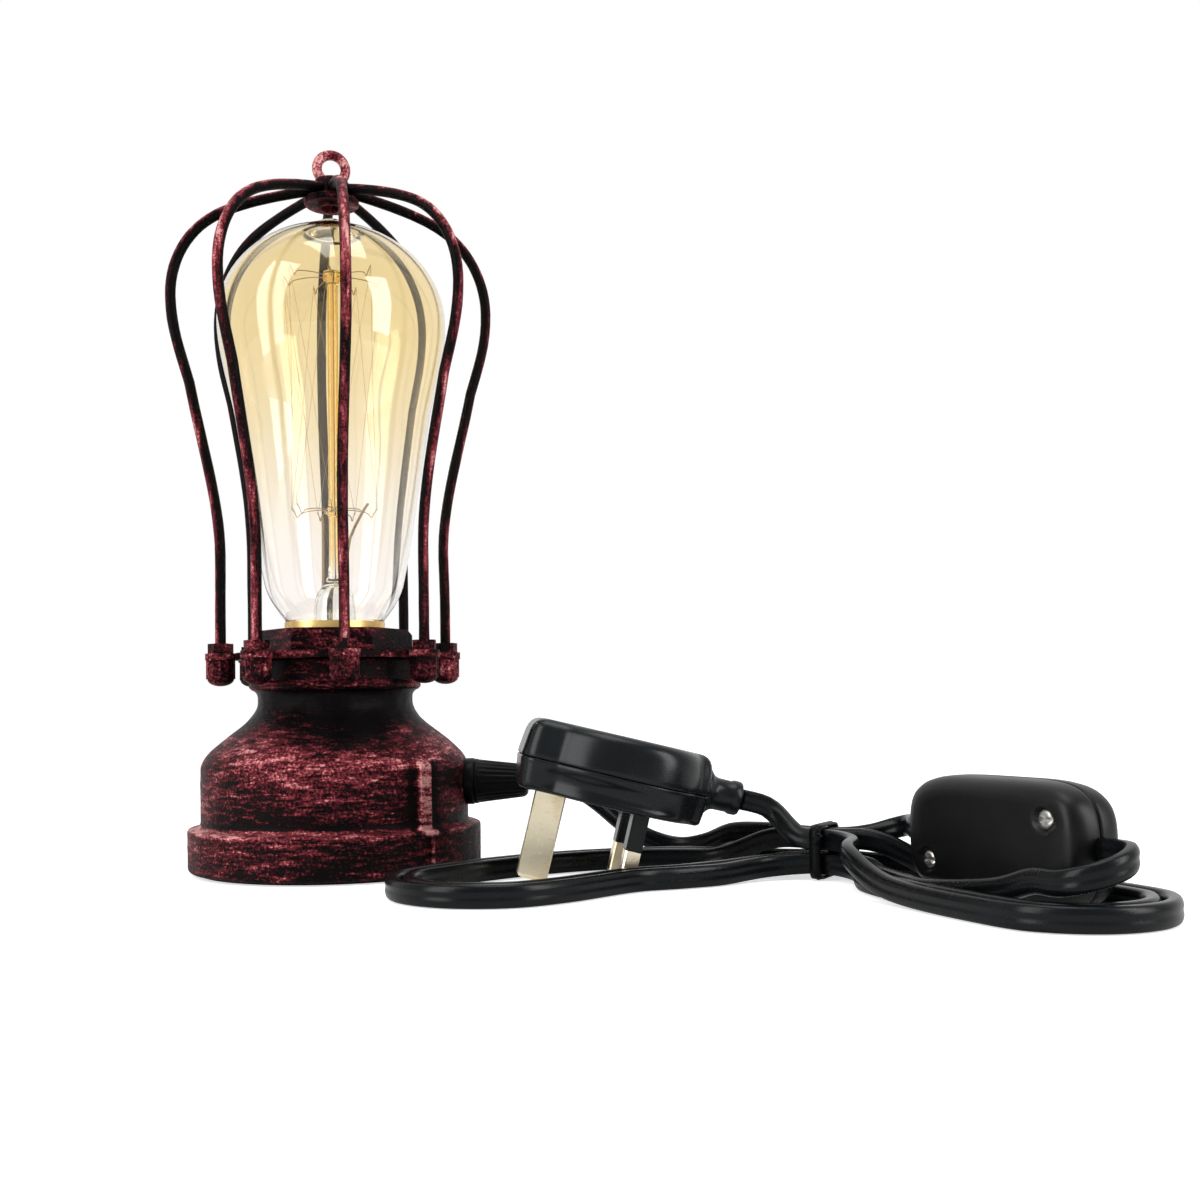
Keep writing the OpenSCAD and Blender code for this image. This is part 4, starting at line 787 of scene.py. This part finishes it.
# %% Line of a rod
rods, rod_r, rod_turn, foot_circle, belly_r, belly_z = 8, 1.45, math.radians(15), 31.4, 44.5, 160.0
rod_foot_z, rod_end_r, rod_end_z = 53.0, 3.2, 193.15
belly, belly_low = np.array([belly_r, belly_z]), np.array([belly_r - 5, belly_z - 24])
shoulder_rod = np.array([foot_circle, rod_end_z - 9.2])
above_end = [14, rod_end_z - 11 * math.tan(math.radians(11.5))]
rod_line = np.concatenate([
    spaced([[foot_circle, rod_foot_z], [foot_circle, 88]], 3)[:-1],
    cubic([foot_circle, 88], [foot_circle, 105], belly_low - [3.3, 16], belly_low, 16),
    cubic(belly_low, belly_low + [2.7, 9], belly - [0, 9], belly, 8, 1),
    cubic(belly, belly + [0, 10], shoulder_rod + [8.1, -4.9], shoulder_rod, 14, 1),
    cubic(shoulder_rod, shoulder_rod + [-6.4, 3.9], above_end, [rod_end_r, rod_end_z], 14, 1)])
print("rod length", round(path_length(rod_line), 1), "mm")

# %% Eight rods
rod_red = rubbed_red("rubbed_rod", stroke=(3, 3, 0.35), bare=0.24, grain=1500, edges=0.85, patches=0.9,
                     specks=1.4)
bend_wave, size_wave = 0.3, 0.02
for i in range(rods):
    a = rod_turn + 2 * np.pi * i / rods
    path = np.column_stack([polar(rod_line[:, 0], a), rod_line[:, 1]])
    loose = ease((path[:, 2] - 72) / 25) * ease((190 - path[:, 2]) / 12)
    sway = np.stack([waves(path, 20 + i, 6, 40, 110), waves(path, 40 + i, 6, 40, 110)], -1)
    path[:, :2] += bend_wave * loose[:, None] * sway
    size = 1 + size_wave * waves(path, 60 + i, 12, 4, 20)
    rings = sweep(path, circle(rod_r, 16), (-np.sin(a), np.cos(a), 0), size)
    # The attribute is higher on each rod's outer and upper side: partly where the brush drags along the
    # outside, and partly a painted highlight on the side that the light falls on.
    outer_and_lit_side = (rings - path[:, None]) / rod_r @ [*polar(0.75, a), 0.66]
    rod = make_piece(f"rod_{i + 1}", [tube_part(rings * mm)])
    set_rub_and_light(rod, np.append((outer_and_lit_side - 0.1).ravel(), [0, 0]))
    dress(rod, rod_red, "rubbed_red", f"cage_rod_{i + 1}")

# %% [markdown]
# ## The bulb
# Glass is drawn as a real wall 0.8 mm thick with an outer and an inner skin, because light bends at both. The
# outline is a chain of cubic curves from the neck to the shoulder, and an ellipse for the crown, which ends in
# the small dome of the seal.

# %% Glass envelope
glass_r, crown_h, glass_t, skirt_r, glass_neck_z, glass_belly_z = 32.0, 28.0, 0.8, 14.0, 69.3, 154.5
seal_r, seal_h, seal_z = 6.3, 3.2, 184.5


def glass_line(inset):
    """Outline of the glass, inset by the wall: three cubics, then (r cos a, height + crown sin a)."""
    r, low, tall = glass_r - inset, glass_neck_z, glass_belly_z - glass_neck_z
    at = lambda x, y: [x - inset, low + y * tall]
    waist, bulge = at(0.603 * glass_r, 0.122), at(0.847 * glass_r, 0.676)
    a, n = np.radians(np.arange(4, 88.1, 4)), 14
    return np.concatenate([
        cubic(at(skirt_r - 0.4, 0), at(skirt_r + 1.2, 0.03), at(0.57 * glass_r, 0.07), waist, n),
        cubic(waist, at(0.672 * glass_r, 0.235), at(0.756 * glass_r, 0.46), bulge, n, 1),
        cubic(bulge, at(0.906 * glass_r, 0.792), [r, low + 0.893 * tall], [r, glass_belly_z], n, 1),
        np.stack([r * np.cos(a), glass_belly_z + (crown_h - inset) * np.sin(a)], -1)])


outside, inside = glass_line(0), glass_line(glass_t)
crown = outside[outside[:, 0] >= seal_r]
seal_a = np.radians(np.linspace(12, 89.5, 10))
seal = np.stack([seal_r * np.cos(seal_a), seal_z - seal_h + seal_h * np.sin(seal_a)], -1)
skirt_end = [[skirt_r - 0.45, glass_neck_z - 1.7], [skirt_r - 1.2, glass_neck_z - 1.7]]
bulb_outline = np.concatenate([seal[::-1], [[seal_r + 0.3, seal_z - 3.6]], crown[::-1], skirt_end, inside,
                               inside[-1:] * [0.02, 1]])
bulb = make_piece("bulb_envelope", [turned_part(bulb_outline, 144)])
dress(bulb, bulb_amber, "amber_glass", "bulb_glass", body="bulb")

# %% [markdown]
# ## Stacked parts
# The plug, the switch and the pins are mouldings: an outline that is stacked up through several levels and
# drawn in a little at each, which rounds its edges. Drawing in moves every point of the outline square to it,
# towards the inside.

# %% Outlines and stacks
def outline_of(pieces, step):
    """A closed outline from a list of point arrays, evened out to the given step."""
    line = np.concatenate([np.atleast_2d(p) for p in pieces] + [np.atleast_2d(pieces[0])[:1]])
    return even_points(line, 16, step, last=False)


def drawn_in(outline, inset, most=2.7):
    """The outline moved inwards by inset: up to most along the normal at each point, and the rest by making it
    smaller about its middle, so that its corners never cross over."""
    tangent = np.roll(outline, -1, 0) - np.roll(outline, 1, 0)
    tangent /= np.linalg.norm(tangent, axis=1, keepdims=True)
    x, y = outline.T
    turned = np.sign((x * np.roll(y, -1) - y * np.roll(x, -1)).sum())
    moved = outline + np.stack([-tangent[:, 1], tangent[:, 0]], -1) * min(inset, most) * turned
    middle = (moved.min(0) + moved.max(0)) / 2
    half = (moved.max(0) - moved.min(0)).min() / 2
    return middle + (moved - middle) * (1 - max(0, inset - most) / half)


def box_outline(w, h, r, step=0.6):
    """A rectangle with round corners of radius r, w wide and h high."""
    w, h = w / 2 - r, h / 2 - r
    corners = [arc(w, h, r, 0, 90), arc(-w, h, r, 90, 180), arc(-w, -h, r, 180, 270), arc(w, -h, r, 270, 360)]
    return outline_of(corners, step)


def stack(outline, levels, most=2.7):
    """Rings of the outline at (height, inset) levels: x and y from the drawn-in outline, z the height."""
    return np.stack([np.column_stack([drawn_in(outline, inset, most), np.full(len(outline), float(height))])
                     for height, inset in levels])


def turned_about(points, origin, turn_z, turn_y=0.0):
    """Turns points about Y and then about Z, and moves them to origin."""
    cy, sy, cz, sz = math.cos(turn_y), math.sin(turn_y), math.cos(turn_z), math.sin(turn_z)
    about_y = np.array([[cy, 0, sy], [0, 1, 0], [-sy, 0, cy]])
    about_z = np.array([[cz, -sz, 0], [sz, cz, 0], [0, 0, 1]])
    return points @ (about_z @ about_y).T + origin


along_x, along_y = [2, 0, 1], [0, 2, 1]     # orders of coordinates that lay an upright axis along X or Y

# %% [markdown]
# ## The plug
# A British plug in two shells that meet in a fine groove. Its outline is narrow at the earth pin, widest at the
# line pins and narrow again at the cord. A shallow scoop on each side of the lower shell gives the fingers a
# hold, and the cover's top edge is rounded off round a flat face that is let in a little.

# %% Outline and levels of the plug shells
half_w, cord_end = plug_w / 2, plug_len - 3
plug_line = outline_of([
    arc(5, -10, 5, 270, 180), arc(5, 10, 5, 180, 90),
    cubic([9, 16], [16, half_w - 1], [22, half_w], [29, half_w], 12),
    cubic([29, half_w], [plug_len - 11, half_w], [plug_len - 6, half_w - 5], [cord_end, 11], 12, 1),
    arc(cord_end, 8, 3, 90, 0), arc(cord_end, -8, 3, 0, -90),
    cubic([cord_end, -11], [plug_len - 6, -half_w + 5], [plug_len - 11, -half_w], [29, -half_w], 12),
    cubic([29, -half_w], [22, -half_w], [16, -half_w + 1], [9, -16], 12, 1)], 0.9)
lower_levels = np.concatenate([
    [[0, 20], [0, 12], [0, 6], [0, 3.2], [0.05, 2.0], [0.35, 1.3], [0.9, 0.95]],
    np.stack([np.linspace(1.6, 6.9, 9), np.linspace(0.85, 0.15, 9)], -1),
    [[7.4, 0.02], [7.75, 0.12], [7.88, 0.5], [7.88, 3]]])
upper_levels = [
    [7.95, 3], [7.95, 0.5], [8.1, 0.12], [8.4, 0.0], [9.6, 0.1], [12, 0.35], [14.4, 0.7], [15.8, 1.1],
    [16.8, 1.7], [17.5, 2.5], [17.9, 3.5], [18, 4.3], [17.95, 4.9], [17.7, 5.3], [17.62, 5.9], [17.62, 8],
    [17.62, 13], [17.62, 18], [17.62, 20]]
print("plug outline:", len(plug_line), "points")

# %% Plug shells and the cord's boot
def at_plug(points):
    """Points given in the plug's own frame, along, across and up from its face, put where the plug stands."""
    return turned_about(points, plug_spot(0, 0), plug_turn + math.pi, pin_lean)


lower_rings = stack(plug_line, lower_levels)
along, across, up = np.moveaxis(lower_rings, -1, 0)
scoop = np.clip(1 - ((along - 23) / 17) ** 2, 0, 1) * np.clip(1 - ((up - 3.6) / 2.6) ** 2, 0, 1)
scoop_deep, scooped_side = 1.3, ease((np.abs(across) - 8) / 6)
lower_rings[..., 1] -= np.sign(across) * scoop_deep * np.sqrt(scoop * scooped_side)
boot_line = np.array([
    [3.0, 0], [5.7, 0], [5.9, 0.3], [5.8, 0.9], [4.9, 1.6], [4.4, 2.3], [4.15, 3.2], [4.1, 6.6], [4.35, 7.0],
    [4.45, 7.6], [4.4, 9.0], [4.1, 9.5], [2.8, 9.5]])
boot = lathe(boot_line[:, :1], boot_line[:, 1:] + plug_len - 0.2, ring_angles(40))[..., along_x]
boot = boot + [0, 0, plug_t / 2]
boot[..., 0] = np.minimum(boot[..., 0], plug_len + relief_len)
plug_pieces = []
for name, rings, solid in (("plug_lower_shell", lower_rings, "plug_body"),
                           ("plug_cover_shell", stack(plug_line, upper_levels), "plug_cover"),
                           ("plug_boot", boot, "plug_relief")):
    piece = make_piece(name, [tube_part(at_plug(rings) * mm)])
    plug_pieces.append(dress(piece, plug_black, "black_plastic", solid))

# %% [markdown]
# The three pins are bars with chamfered edges and ground tips, and the two line pins wear black sleeves up to
# the part that makes contact. Both are short stacks, and flat shading keeps their faces crisp.

# %% Pins with ground tips, and their sleeves
def plug_bar(a, b, w, d, corner, levels, most):
    """A bar at (a, b) on the plug, w along it and d across: a box outline stacked through levels."""
    return tube_part(at_plug(stack(box_outline(w, d, corner, 0.5), levels, most) + [a, b, 0]) * mm)


def pin_levels(length, tip, half):
    """Height and inset of a pin's levels: it starts in the plug and is drawn in over its last bit, tip."""
    return [(0.5, 1.2), (0.5, 0.1), (0.0, 0.0), (-length + tip, 0.0), (-length + 0.35 * tip, 0.35 * tip),
            (-length, 0.75 * tip), (-length, half - 0.2)]


sleeve_len = 9.4
sleeve_levels = [(0.4, 0.6), (0.4, 0), (-sleeve_len + 0.3, 0), (-sleeve_len, 0.12), (-sleeve_len, 0.6)]
for name, a, b, w, d, length, tip in (
        ("earth", earth_pin_a, 0, earth_w, pin_t, earth_pin_len, 1.1),
        ("live", line_pin_a, -pin_gap / 2, 3.9, 6.25, line_pin_len, 0.9),
        ("neutral", line_pin_a, pin_gap / 2, 3.9, 6.25, line_pin_len, 0.9)):
    bar = plug_bar(a, b, w, d, 0.25, pin_levels(length, tip, min(w, d) / 2), 0.2)
    pin = make_piece(f"{name}_pin", [bar], smooth=False)
    plug_pieces.append(dress(pin, pin_brass, "brass", f"pin_{name}"))
sleeves = [plug_bar(line_pin_a, b, 4.1, 6.45, 0.3, sleeve_levels, 0.25) for b in (-pin_gap / 2, pin_gap / 2)]
sleeve = make_piece("pin_sleeves_black", sleeves, smooth=False)
plug_pieces.append(dress(sleeve, plug_black, "black_plastic", "pin_sleeves"))

# %% [markdown]
# ## The switch
# An inline rocker switch in two shells, 57 mm long. It stands on its long edge with the plain base towards the
# front and the rocker behind. The shell is a stack again. Its outline is an oval whose cosine and sine are
# raised to small powers, which squares it off and leaves the ends rounder than a box's. Two screws sit in
# shallow wells in the base. A well is where the flat face is pushed in, so the face is made of many fine rings.

# %% Switch base
def at_switch(points):
    """Points given in the switch's own frame, along, across and up, put where the switch lies."""
    return turned_about(points, switch_mid, switch_turn)


switch_h, well_r, well_deep = 28.0, 2.2, 1.3
half_x, half_z = switch_len / 2, switch_h / 2
oval_a = np.linspace(0, 2 * np.pi, 400, endpoint=False)
squarish = np.stack([half_x * np.sign(np.cos(oval_a)) * np.abs(np.cos(oval_a)) ** 0.42,
                     half_z * np.sign(np.sin(oval_a)) * np.abs(np.sin(oval_a)) ** 0.62], -1)
switch_line = outline_of([squarish], 1.0)
base_levels = [(0.08, 3), (0.08, 0.4), (0.3, 0.05), (0.9, 0), (3.0, 0.12), (4.8, 0.5), (6.0, 1.2), (6.8, 2.2),
               (7.25, 3.3), (7.42, 4.4)]
rim = stack(switch_line, base_levels)
face_rings = 33
shrink = np.linspace(1, 0.03, face_rings + 1)[1:, None, None]
face_height = np.broadcast_to(7.45 + 0.05 * (1 - shrink), (face_rings, len(switch_line), 1))
rings = np.concatenate([rim, np.concatenate([rim[-1][None, :, :2] * shrink, face_height], -1)])
wells = [(half_x - 9, half_z - 8), (-half_x + 9, -half_z + 8)]
for wx, wz in wells:
    from_well = np.hypot(rings[..., 0] - wx, rings[..., 1] - wz)
    rings[..., 2] -= well_deep * (1 - ease((from_well - well_r) / 0.7)) * (rings[..., 2] > 7)
switch_front = make_piece("switch_lower_shell", [tube_part(at_switch(rings[..., along_y] * [1, -1, 1]) * mm)])
dress(switch_front, switch_black, "black_plastic", "switch_base")

# %% [markdown]
# The cover has a pocket for the rocker. Rings that follow the oval edge have to end in rings that follow the
# pocket's box, so both outlines are read at the same directions from the middle and blended between.

# %% Switch cover with the rocker's pocket
def around_centre(outline, angles):
    """The outline's points at the given directions from its centre: its distance there times (cos, sin)."""
    own = np.arctan2(outline[:, 1], outline[:, 0])
    reach = np.interp(angles, *(np.sort(own), np.hypot(*outline.T)[np.argsort(own)]), period=2 * np.pi)
    return polar(reach, angles)


cover_levels = [(0.02, 3), (0.08, 0.4), (0.3, 0.05), (0.9, 0), (3.0, 0.12), (4.6, 0.5), (5.8, 1.3), (6.6, 2.4),
                (7.1, 3.7), (7.35, 5.0)]
pocket_levels = ((7.44, 1.06), (7.38, 1.02), (7.15, 1.0), (1.2, 1.0))
rim = stack(switch_line, cover_levels)
hole = around_centre(box_outline(17.8, 11.8, 1.2, 0.2), np.arctan2(switch_line[:, 1], switch_line[:, 0]))
blend = np.linspace(0, 1, 8)[1:-1, None, None]
flat = rim[-1, :, :2] * (1 - blend) + hole * 1.08 * blend
flat = np.concatenate([flat, np.full((len(flat), len(hole), 1), pocket_levels[0][0])], -1)
pocket = np.stack([np.column_stack([hole * grow, np.full(len(hole), depth)]) for depth, grow in pocket_levels])
cover_rings = np.concatenate([rim, flat, pocket])[..., along_y]
switch_back = make_piece("switch_upper_shell", [tube_part(at_switch(cover_rings) * mm)])
dress(switch_back, switch_black, "black_plastic", "switch_cover")

# %% Screw heads in the wells
dome = np.array([[0.05, -7.0], [1.2, -6.95], [1.9, -6.75], [2.15, -6.4], [2.15, -5.2], [0.05, -5.2]])
heads = []
for wx, wz in wells:
    head = lathe(dome[:, :1], dome[:, 1:], ring_angles(28))[..., along_y] + [wx, 0, wz]
    head[..., 1] += 0.5 * ((np.abs(head[..., 2] - wz) < 0.35) & (head[..., 1] < -6.5))
    heads.append(tube_part(at_switch(head) * mm))
screws = make_piece("switch_screw_heads", heads)
dress(screws, bright_steel, "steel", "switch_screws")

# %% [markdown]
# ## The tie
# A short soft band holds the bundle at its waist: a strip with a wire down its middle, laid round the six
# runs of cord, with its two ends twisted together on the front.

# %% Cord tie
spread, tall = 2 * lane + cord_thick + 1.1, high_z - low_z + cord_wide + 1.2
tie_mid = [tie_x, tie_y, tie_lift + (high_z + low_z) / 2]
band_line = box_outline(spread + 1.0, tall + 0.4, 2.2, 0.7)
strip = [[-1.5, 0], [-1.45, 0.28], [-0.5, 0.36], [0, 0.62], [0.5, 0.36], [1.45, 0.28], [1.5, 0], [1.4, -0.2],
         [-1.4, -0.2]]
rings = stack(band_line, [(side, -proud) for side, proud in strip]).swapaxes(0, 1)[..., along_x]
twist = np.linspace(0, 9, 34)
tail_path = np.stack([0.2 * twist, -0.16 * twist, 0.22 * twist], -1) + [0, -spread / 2 - 0.9, 2.6]
parts = [loop_part(turned_about(rings, tie_mid, tie_turn) * mm)]
for start in (0, np.pi):
    wind = np.stack([np.cos(twist * 1.4 + start), 0 * twist, np.sin(twist * 1.4 + start)], -1) * 0.45
    tail = sweep(tail_path + wind, circle(0.42, 8), (0, 0, 1))
    parts.append(tube_part(turned_about(tail, tie_mid, tie_turn) * mm))
tie = make_piece("cord_band", parts)
dress(tie, gland_black, "black_plastic", "cord_tie")

# %% [markdown]
# ## Inside the bulb
# A glass stem rises from the neck. It is pinched flat round the two lead wires and goes on as a rod with a
# button at each end, where seven fine wires stick out like spokes and end in small hooks. The long filament
# runs up and down between the hooks. The wires are drawn thinner here than in the solids, as they really are.

# %% Glass stem
press_z, lower_z, upper_z = glass_neck_z + 12, glass_neck_z + 31, glass_neck_z + 97.5
stem_points = [[r, base + dz] for base, rows in (
    (upper_z, ((2.5, 2.9), (2.6, 1.8), (2.5, 0.4), (1.6, -1), (1.5, -12))),
    (lower_z, ((1.5, 12), (1.6, 2.4), (2.7, 1.2), (2.7, 0.2), (1.7, -0.6), (1.5, -2))),
    (press_z, ((1.5, 9), (1.8, 2), (3.1, -0.6), (4.9, -3.4), (5.7, -7))),
    (glass_neck_z, ((5.9, -0.6), (5.3, -0.8))),
    (press_z, ((5.0, -7), (4.2, -4), (2.4, -2), (0.05, -1.4)))) for r, dz in rows]
stem_line = np.concatenate([[[0.05, upper_z + 3.3]], smooth_path(stem_points, 0.6)])
rings = lathe(stem_line[:, :1], stem_line[:, 1:], ring_angles(32))
pinch = 0.35 * np.exp(-((rings[..., 2] - press_z - 1) / 3.0) ** 2)
rings[..., 1] *= 1 - pinch
dress(make_piece("stem_glass", [tube_part(rings * mm)]), stem_clear, "clear_glass", "bulb_stem", body="bulb")

# %% Hooks and filament
hook_wire_r, filament_r, hook_count, leg_count = 0.14, 0.055, 7, 12


def hook_turn(i):
    """Direction of hook i round the stem."""
    return np.radians(20 + 360 * i / hook_count)


def hook_point(i):
    """Tip of hook i: even ones at the upper button and odd ones at the lower."""
    a, upper = hook_turn(i), i % 2 == 0
    r = 14.4 if upper else 12.4
    return np.array([*polar(r, a), upper_z + 1.9 if upper else lower_z + 1.2])


hooks, legs = [], []
for level, reach in ((upper_z + 1.2, 12.6), (lower_z + 0.7, 10.6)):
    spoke = np.array([[1.8, 0, 0], [reach * 0.45, 0, 0.5], [reach - 1.2, 0, -0.2], [reach, 0, -1.6],
                      [reach + 0.8, 0, -0.2], [reach + 1.7, 0, 1.2]]) + [0, 0, level]
    for i in range(hook_count):
        a = hook_turn(i)
        wire = turned_about(smooth_path(spoke, 0.5), [0, 0, 0], a)
        hooks.append(tube_part(sweep(wire * mm, circle(hook_wire_r * mm, 6), (-math.sin(a), math.cos(a), 0))))
leg_points, leg_bow = 24, 0.03
for i in range(leg_count):
    leg = np.linspace(hook_point(i), hook_point(i + 1), leg_points)
    leg[:, :2] *= 1 - leg_bow * np.sin(np.linspace(0, np.pi, leg_points))[:, None]
    legs.append(tube_part(sweep(leg * mm, circle(filament_r * mm, 5), (0, 0, 1))))
dress(make_piece("support_hooks", hooks), wire_metal, "dark_wire", "bulb_hooks", body="bulb")
dress(make_piece("filament_wire", legs), wire_metal, "dark_wire", "bulb_filament", body="bulb")

# %% [markdown]
# ## The cable gland
# The gland's cap is a tapered black moulding with 24 shallow grip ribs, and behind it a plain collar meets the
# foot. The ribs are a cosine of the angle, taken off the radius, that fades out before both ends.

# %% Gland cap with its grip ribs
cap_start, collar_end, grip_deep, grip_ribs = 36.4 + 2.8, 39.15, 0.30, 24
cap_line = np.array([[0, 6.15], [0.2, 6.3], [0.7, 6.3], [1.2, 6.1], [4, 5.75], [8, 5.3], [11, 4.95],
                     [13.2, 4.7], [13.9, 4.6], [14.6, 4.2], [15.0, 3.6], [15.0, 2.9]])
cap_x, rib_a = cap_line[:, :1], ring_angles(6 * grip_ribs)
fade = ease((cap_x - 1.0) / 0.8) * ease((13.6 - cap_x) / 0.8)
grip = grip_deep * (0.5 - 0.5 * np.cos(grip_ribs * rib_a)) * fade
collar = np.array([[33, 4], [33, 6.5], [38.8, 6.5], [collar_end, 6.35], [collar_end, 4]])
parts = [tube_part((lathe(r, x, a)[..., along_x] + [0, 0, gland_z]) * mm) for r, x, a in (
    (cap_line[:, 1:] - grip, cap_start + cap_x, rib_a), (collar[:, 1:], collar[:, :1], ring_angles(64)))]
dress(make_piece("gland_taper", parts), gland_black, "black_plastic", "gland_cap")

# %% [markdown]
# ## Finishes of the solid parts that stay
# Many parts look right as they are, and get only their finish. Each row gives a material, the record's slot and
# the solid parts that take them. The small iron parts carry more red than the foot.

# %% Dress the solid parts
plate_red = rubbed_red("rubbed_plate", stroke=(1, 1, 3), bare=-0.14, grain=1300)
bush_red = rubbed_red("rubbed_bush", stroke=(1, 1, 5), turn=(0.5, 0.5, 0), bare=-0.12, grain=1300)
eye_red = rubbed_red("rubbed_eye", stroke=(1, 1, 2), bare=-0.65, grain=1500)
small_red = rubbed_red("rubbed_small", stroke=(1, 1, 1.5), bare=-0.08, grain=1500)
for material, slot, solids in (
        (plate_red, "rubbed_red", "flange_plate"), (bush_red, "rubbed_red", "hex_bush"),
        (small_red, "rubbed_red", "rod_nuts cap_nuts cage_hub"), (eye_red, "rubbed_red", "eye_ring"),
        (pad_black, "steel", "base_plate"), (pad_black, "soft_pad", "base_pad"),
        (bright_steel, "steel", "base_screws terminal_screws rocker_pin"),
        (holder_pale, "holder_insulator", "holder_body"),
        (lamp_brass, "brass", "holder_lock_ring screw_shell centre_contact terminal_blocks bulb_cap"
                              " switch_contacts fuse_clips"),
        (plug_black, "black_insulator", "bulb_insulator"), (tin_solder, "solder", "bulb_tip"),
        (wire_metal, "dark_wire", "bulb_leads"), (gland_black, "black_plastic", "gland_body gland_nut"),
        (core_brown, "core_brown", "live_core"), (core_blue, "core_blue", "neutral_core"),
        (plug_black, "black_plastic", "switch_rocker fuse_carrier"), (fuse_pale, "fuse_white", "fuse")):
    for solid in solids.split():
        dress(frame["nodes"][solid], material, slot)
    print(material.name + ":", solids)

dress(cord_lead, flex_black, "black_pvc")
dress(cord_hank, flex_black, "black_pvc")
switch_pieces = [switch_front, switch_back, screws]
switch_pieces += [frame["nodes"][n] for n in ("switch_rocker", "rocker_pin", "switch_contacts")]
plug_pieces += [frame["nodes"][n] for n in ("fuse_carrier", "fuse", "fuse_clips")]
path_length(lead_path)
path_length(hank_path)

# %% [markdown]
# ## Floor, light and background
# A flat pale floor fades into the world: the white of the picture comes from the floor's and the world's own
# colour for the camera, and also for mirror and glass rays, so that brass and glass show that white too. The
# lamps stay at a plain level, and the floor keeps a faint shadow. It lies a hair below zero, so that it shares
# no height with an underside.

# %% Floor
floor_size, below_zero = 6, 0.0002
floor_graph = Graph("floor_white")
on_floor = lambda name: floor_graph.node("ShaderNodeLightPath", {}, out=name)
from_lamp = floor_graph.node("ShaderNodeVectorMath", {"operation": "LENGTH"}, floor_graph.object_point(),
                             out="Value")
far = from_lamp.ramp(0.3, 1.6)
through = (on_floor("Is Glossy Ray") + on_floor("Is Transmission Ray")).clamp()
level = on_floor("Is Camera Ray") * (0.62 + 0.26 * far) + through * (0.08 + 0.7 * far)
glow = floor_graph.mix(level, (0, 0, 0, 1), (1, 1, 1, 1))
pale = floor_graph.shader(Base_Color=(0.82, 0.82, 0.82, 1), Roughness=0.9, Specular_IOR_Level=0.1,
                          Emission_Color=glow, Emission_Strength=1.0)
floor_mesh = bpy.data.meshes.new("floor")
floor_corners = [(floor_size * x, floor_size * y, 0) for x, y in ((-1, -1), (1, -1), (1, 1), (-1, 1))]
floor_mesh.from_pydata(floor_corners, [], [(0, 1, 2, 3)])
floor = bpy.data.objects.new("floor", floor_mesh)
bpy.context.scene.collection.objects.link(floor)
floor.location.z = -below_zero
floor_mesh.materials.append(floor_graph.finish(pale))

# %% World
world = bpy.data.worlds.new("studio")
bpy.context.scene.world = world
world.use_nodes = True
sky = Graph(world)
ray = lambda name: sky.node("ShaderNodeLightPath", {}, out=name)
direction = sky.node("ShaderNodeTexCoord", {}, out="Generated")
behind = sky.node("ShaderNodeSeparateXYZ", {}, direction, out="Y").ramp(-0.3, 0.6)
mirrored = ray("Is Glossy Ray") * (0.15 + 0.85 * behind)
strength = 0.26 + 0.74 * (ray("Is Camera Ray") + ray("Is Transmission Ray") + mirrored).clamp()
sky.node("ShaderNodeOutputWorld", {}, sky.node("ShaderNodeBackground", {}, (1, 1, 1, 1), strength))

# %% [markdown]
# Two soft windows stand left and right of the camera, since the real bulb shows a broad pale patch on its left
# and a small one on its right, and a weaker panel hangs above. They are weak, so that a colour renders about
# as it is written.

# %% Lamps
def soft_lamp(name, stand, aim, width, height, power):
    """A rectangle of light at stand that faces the point aim, in metres and watts."""
    data = bpy.data.lights.new(name, "AREA")
    data.shape, data.size, data.size_y, data.energy = "RECTANGLE", width, height, power
    lamp = bpy.data.objects.new(name, data)
    lamp.location = stand
    lamp.rotation_euler = (Vector(aim) - Vector(stand)).to_track_quat("-Z", "Y").to_euler()
    bpy.context.scene.collection.objects.link(lamp)
    print(name, power, "W")


soft_lamp("left_window", (-0.80, -0.62, 0.58), (0, 0, 0.16), 0.6, 1.3, 13)
soft_lamp("right_window", (0.95, -0.55, 0.5), (0.05, 0, 0.06), 0.4, 0.9, 9)
soft_lamp("top_panel", (0.1, -0.1, 1.2), (0.05, -0.02, 0), 0.6, 0.6, 4.5)
bpy.context.scene.view_settings.view_transform = "Standard"
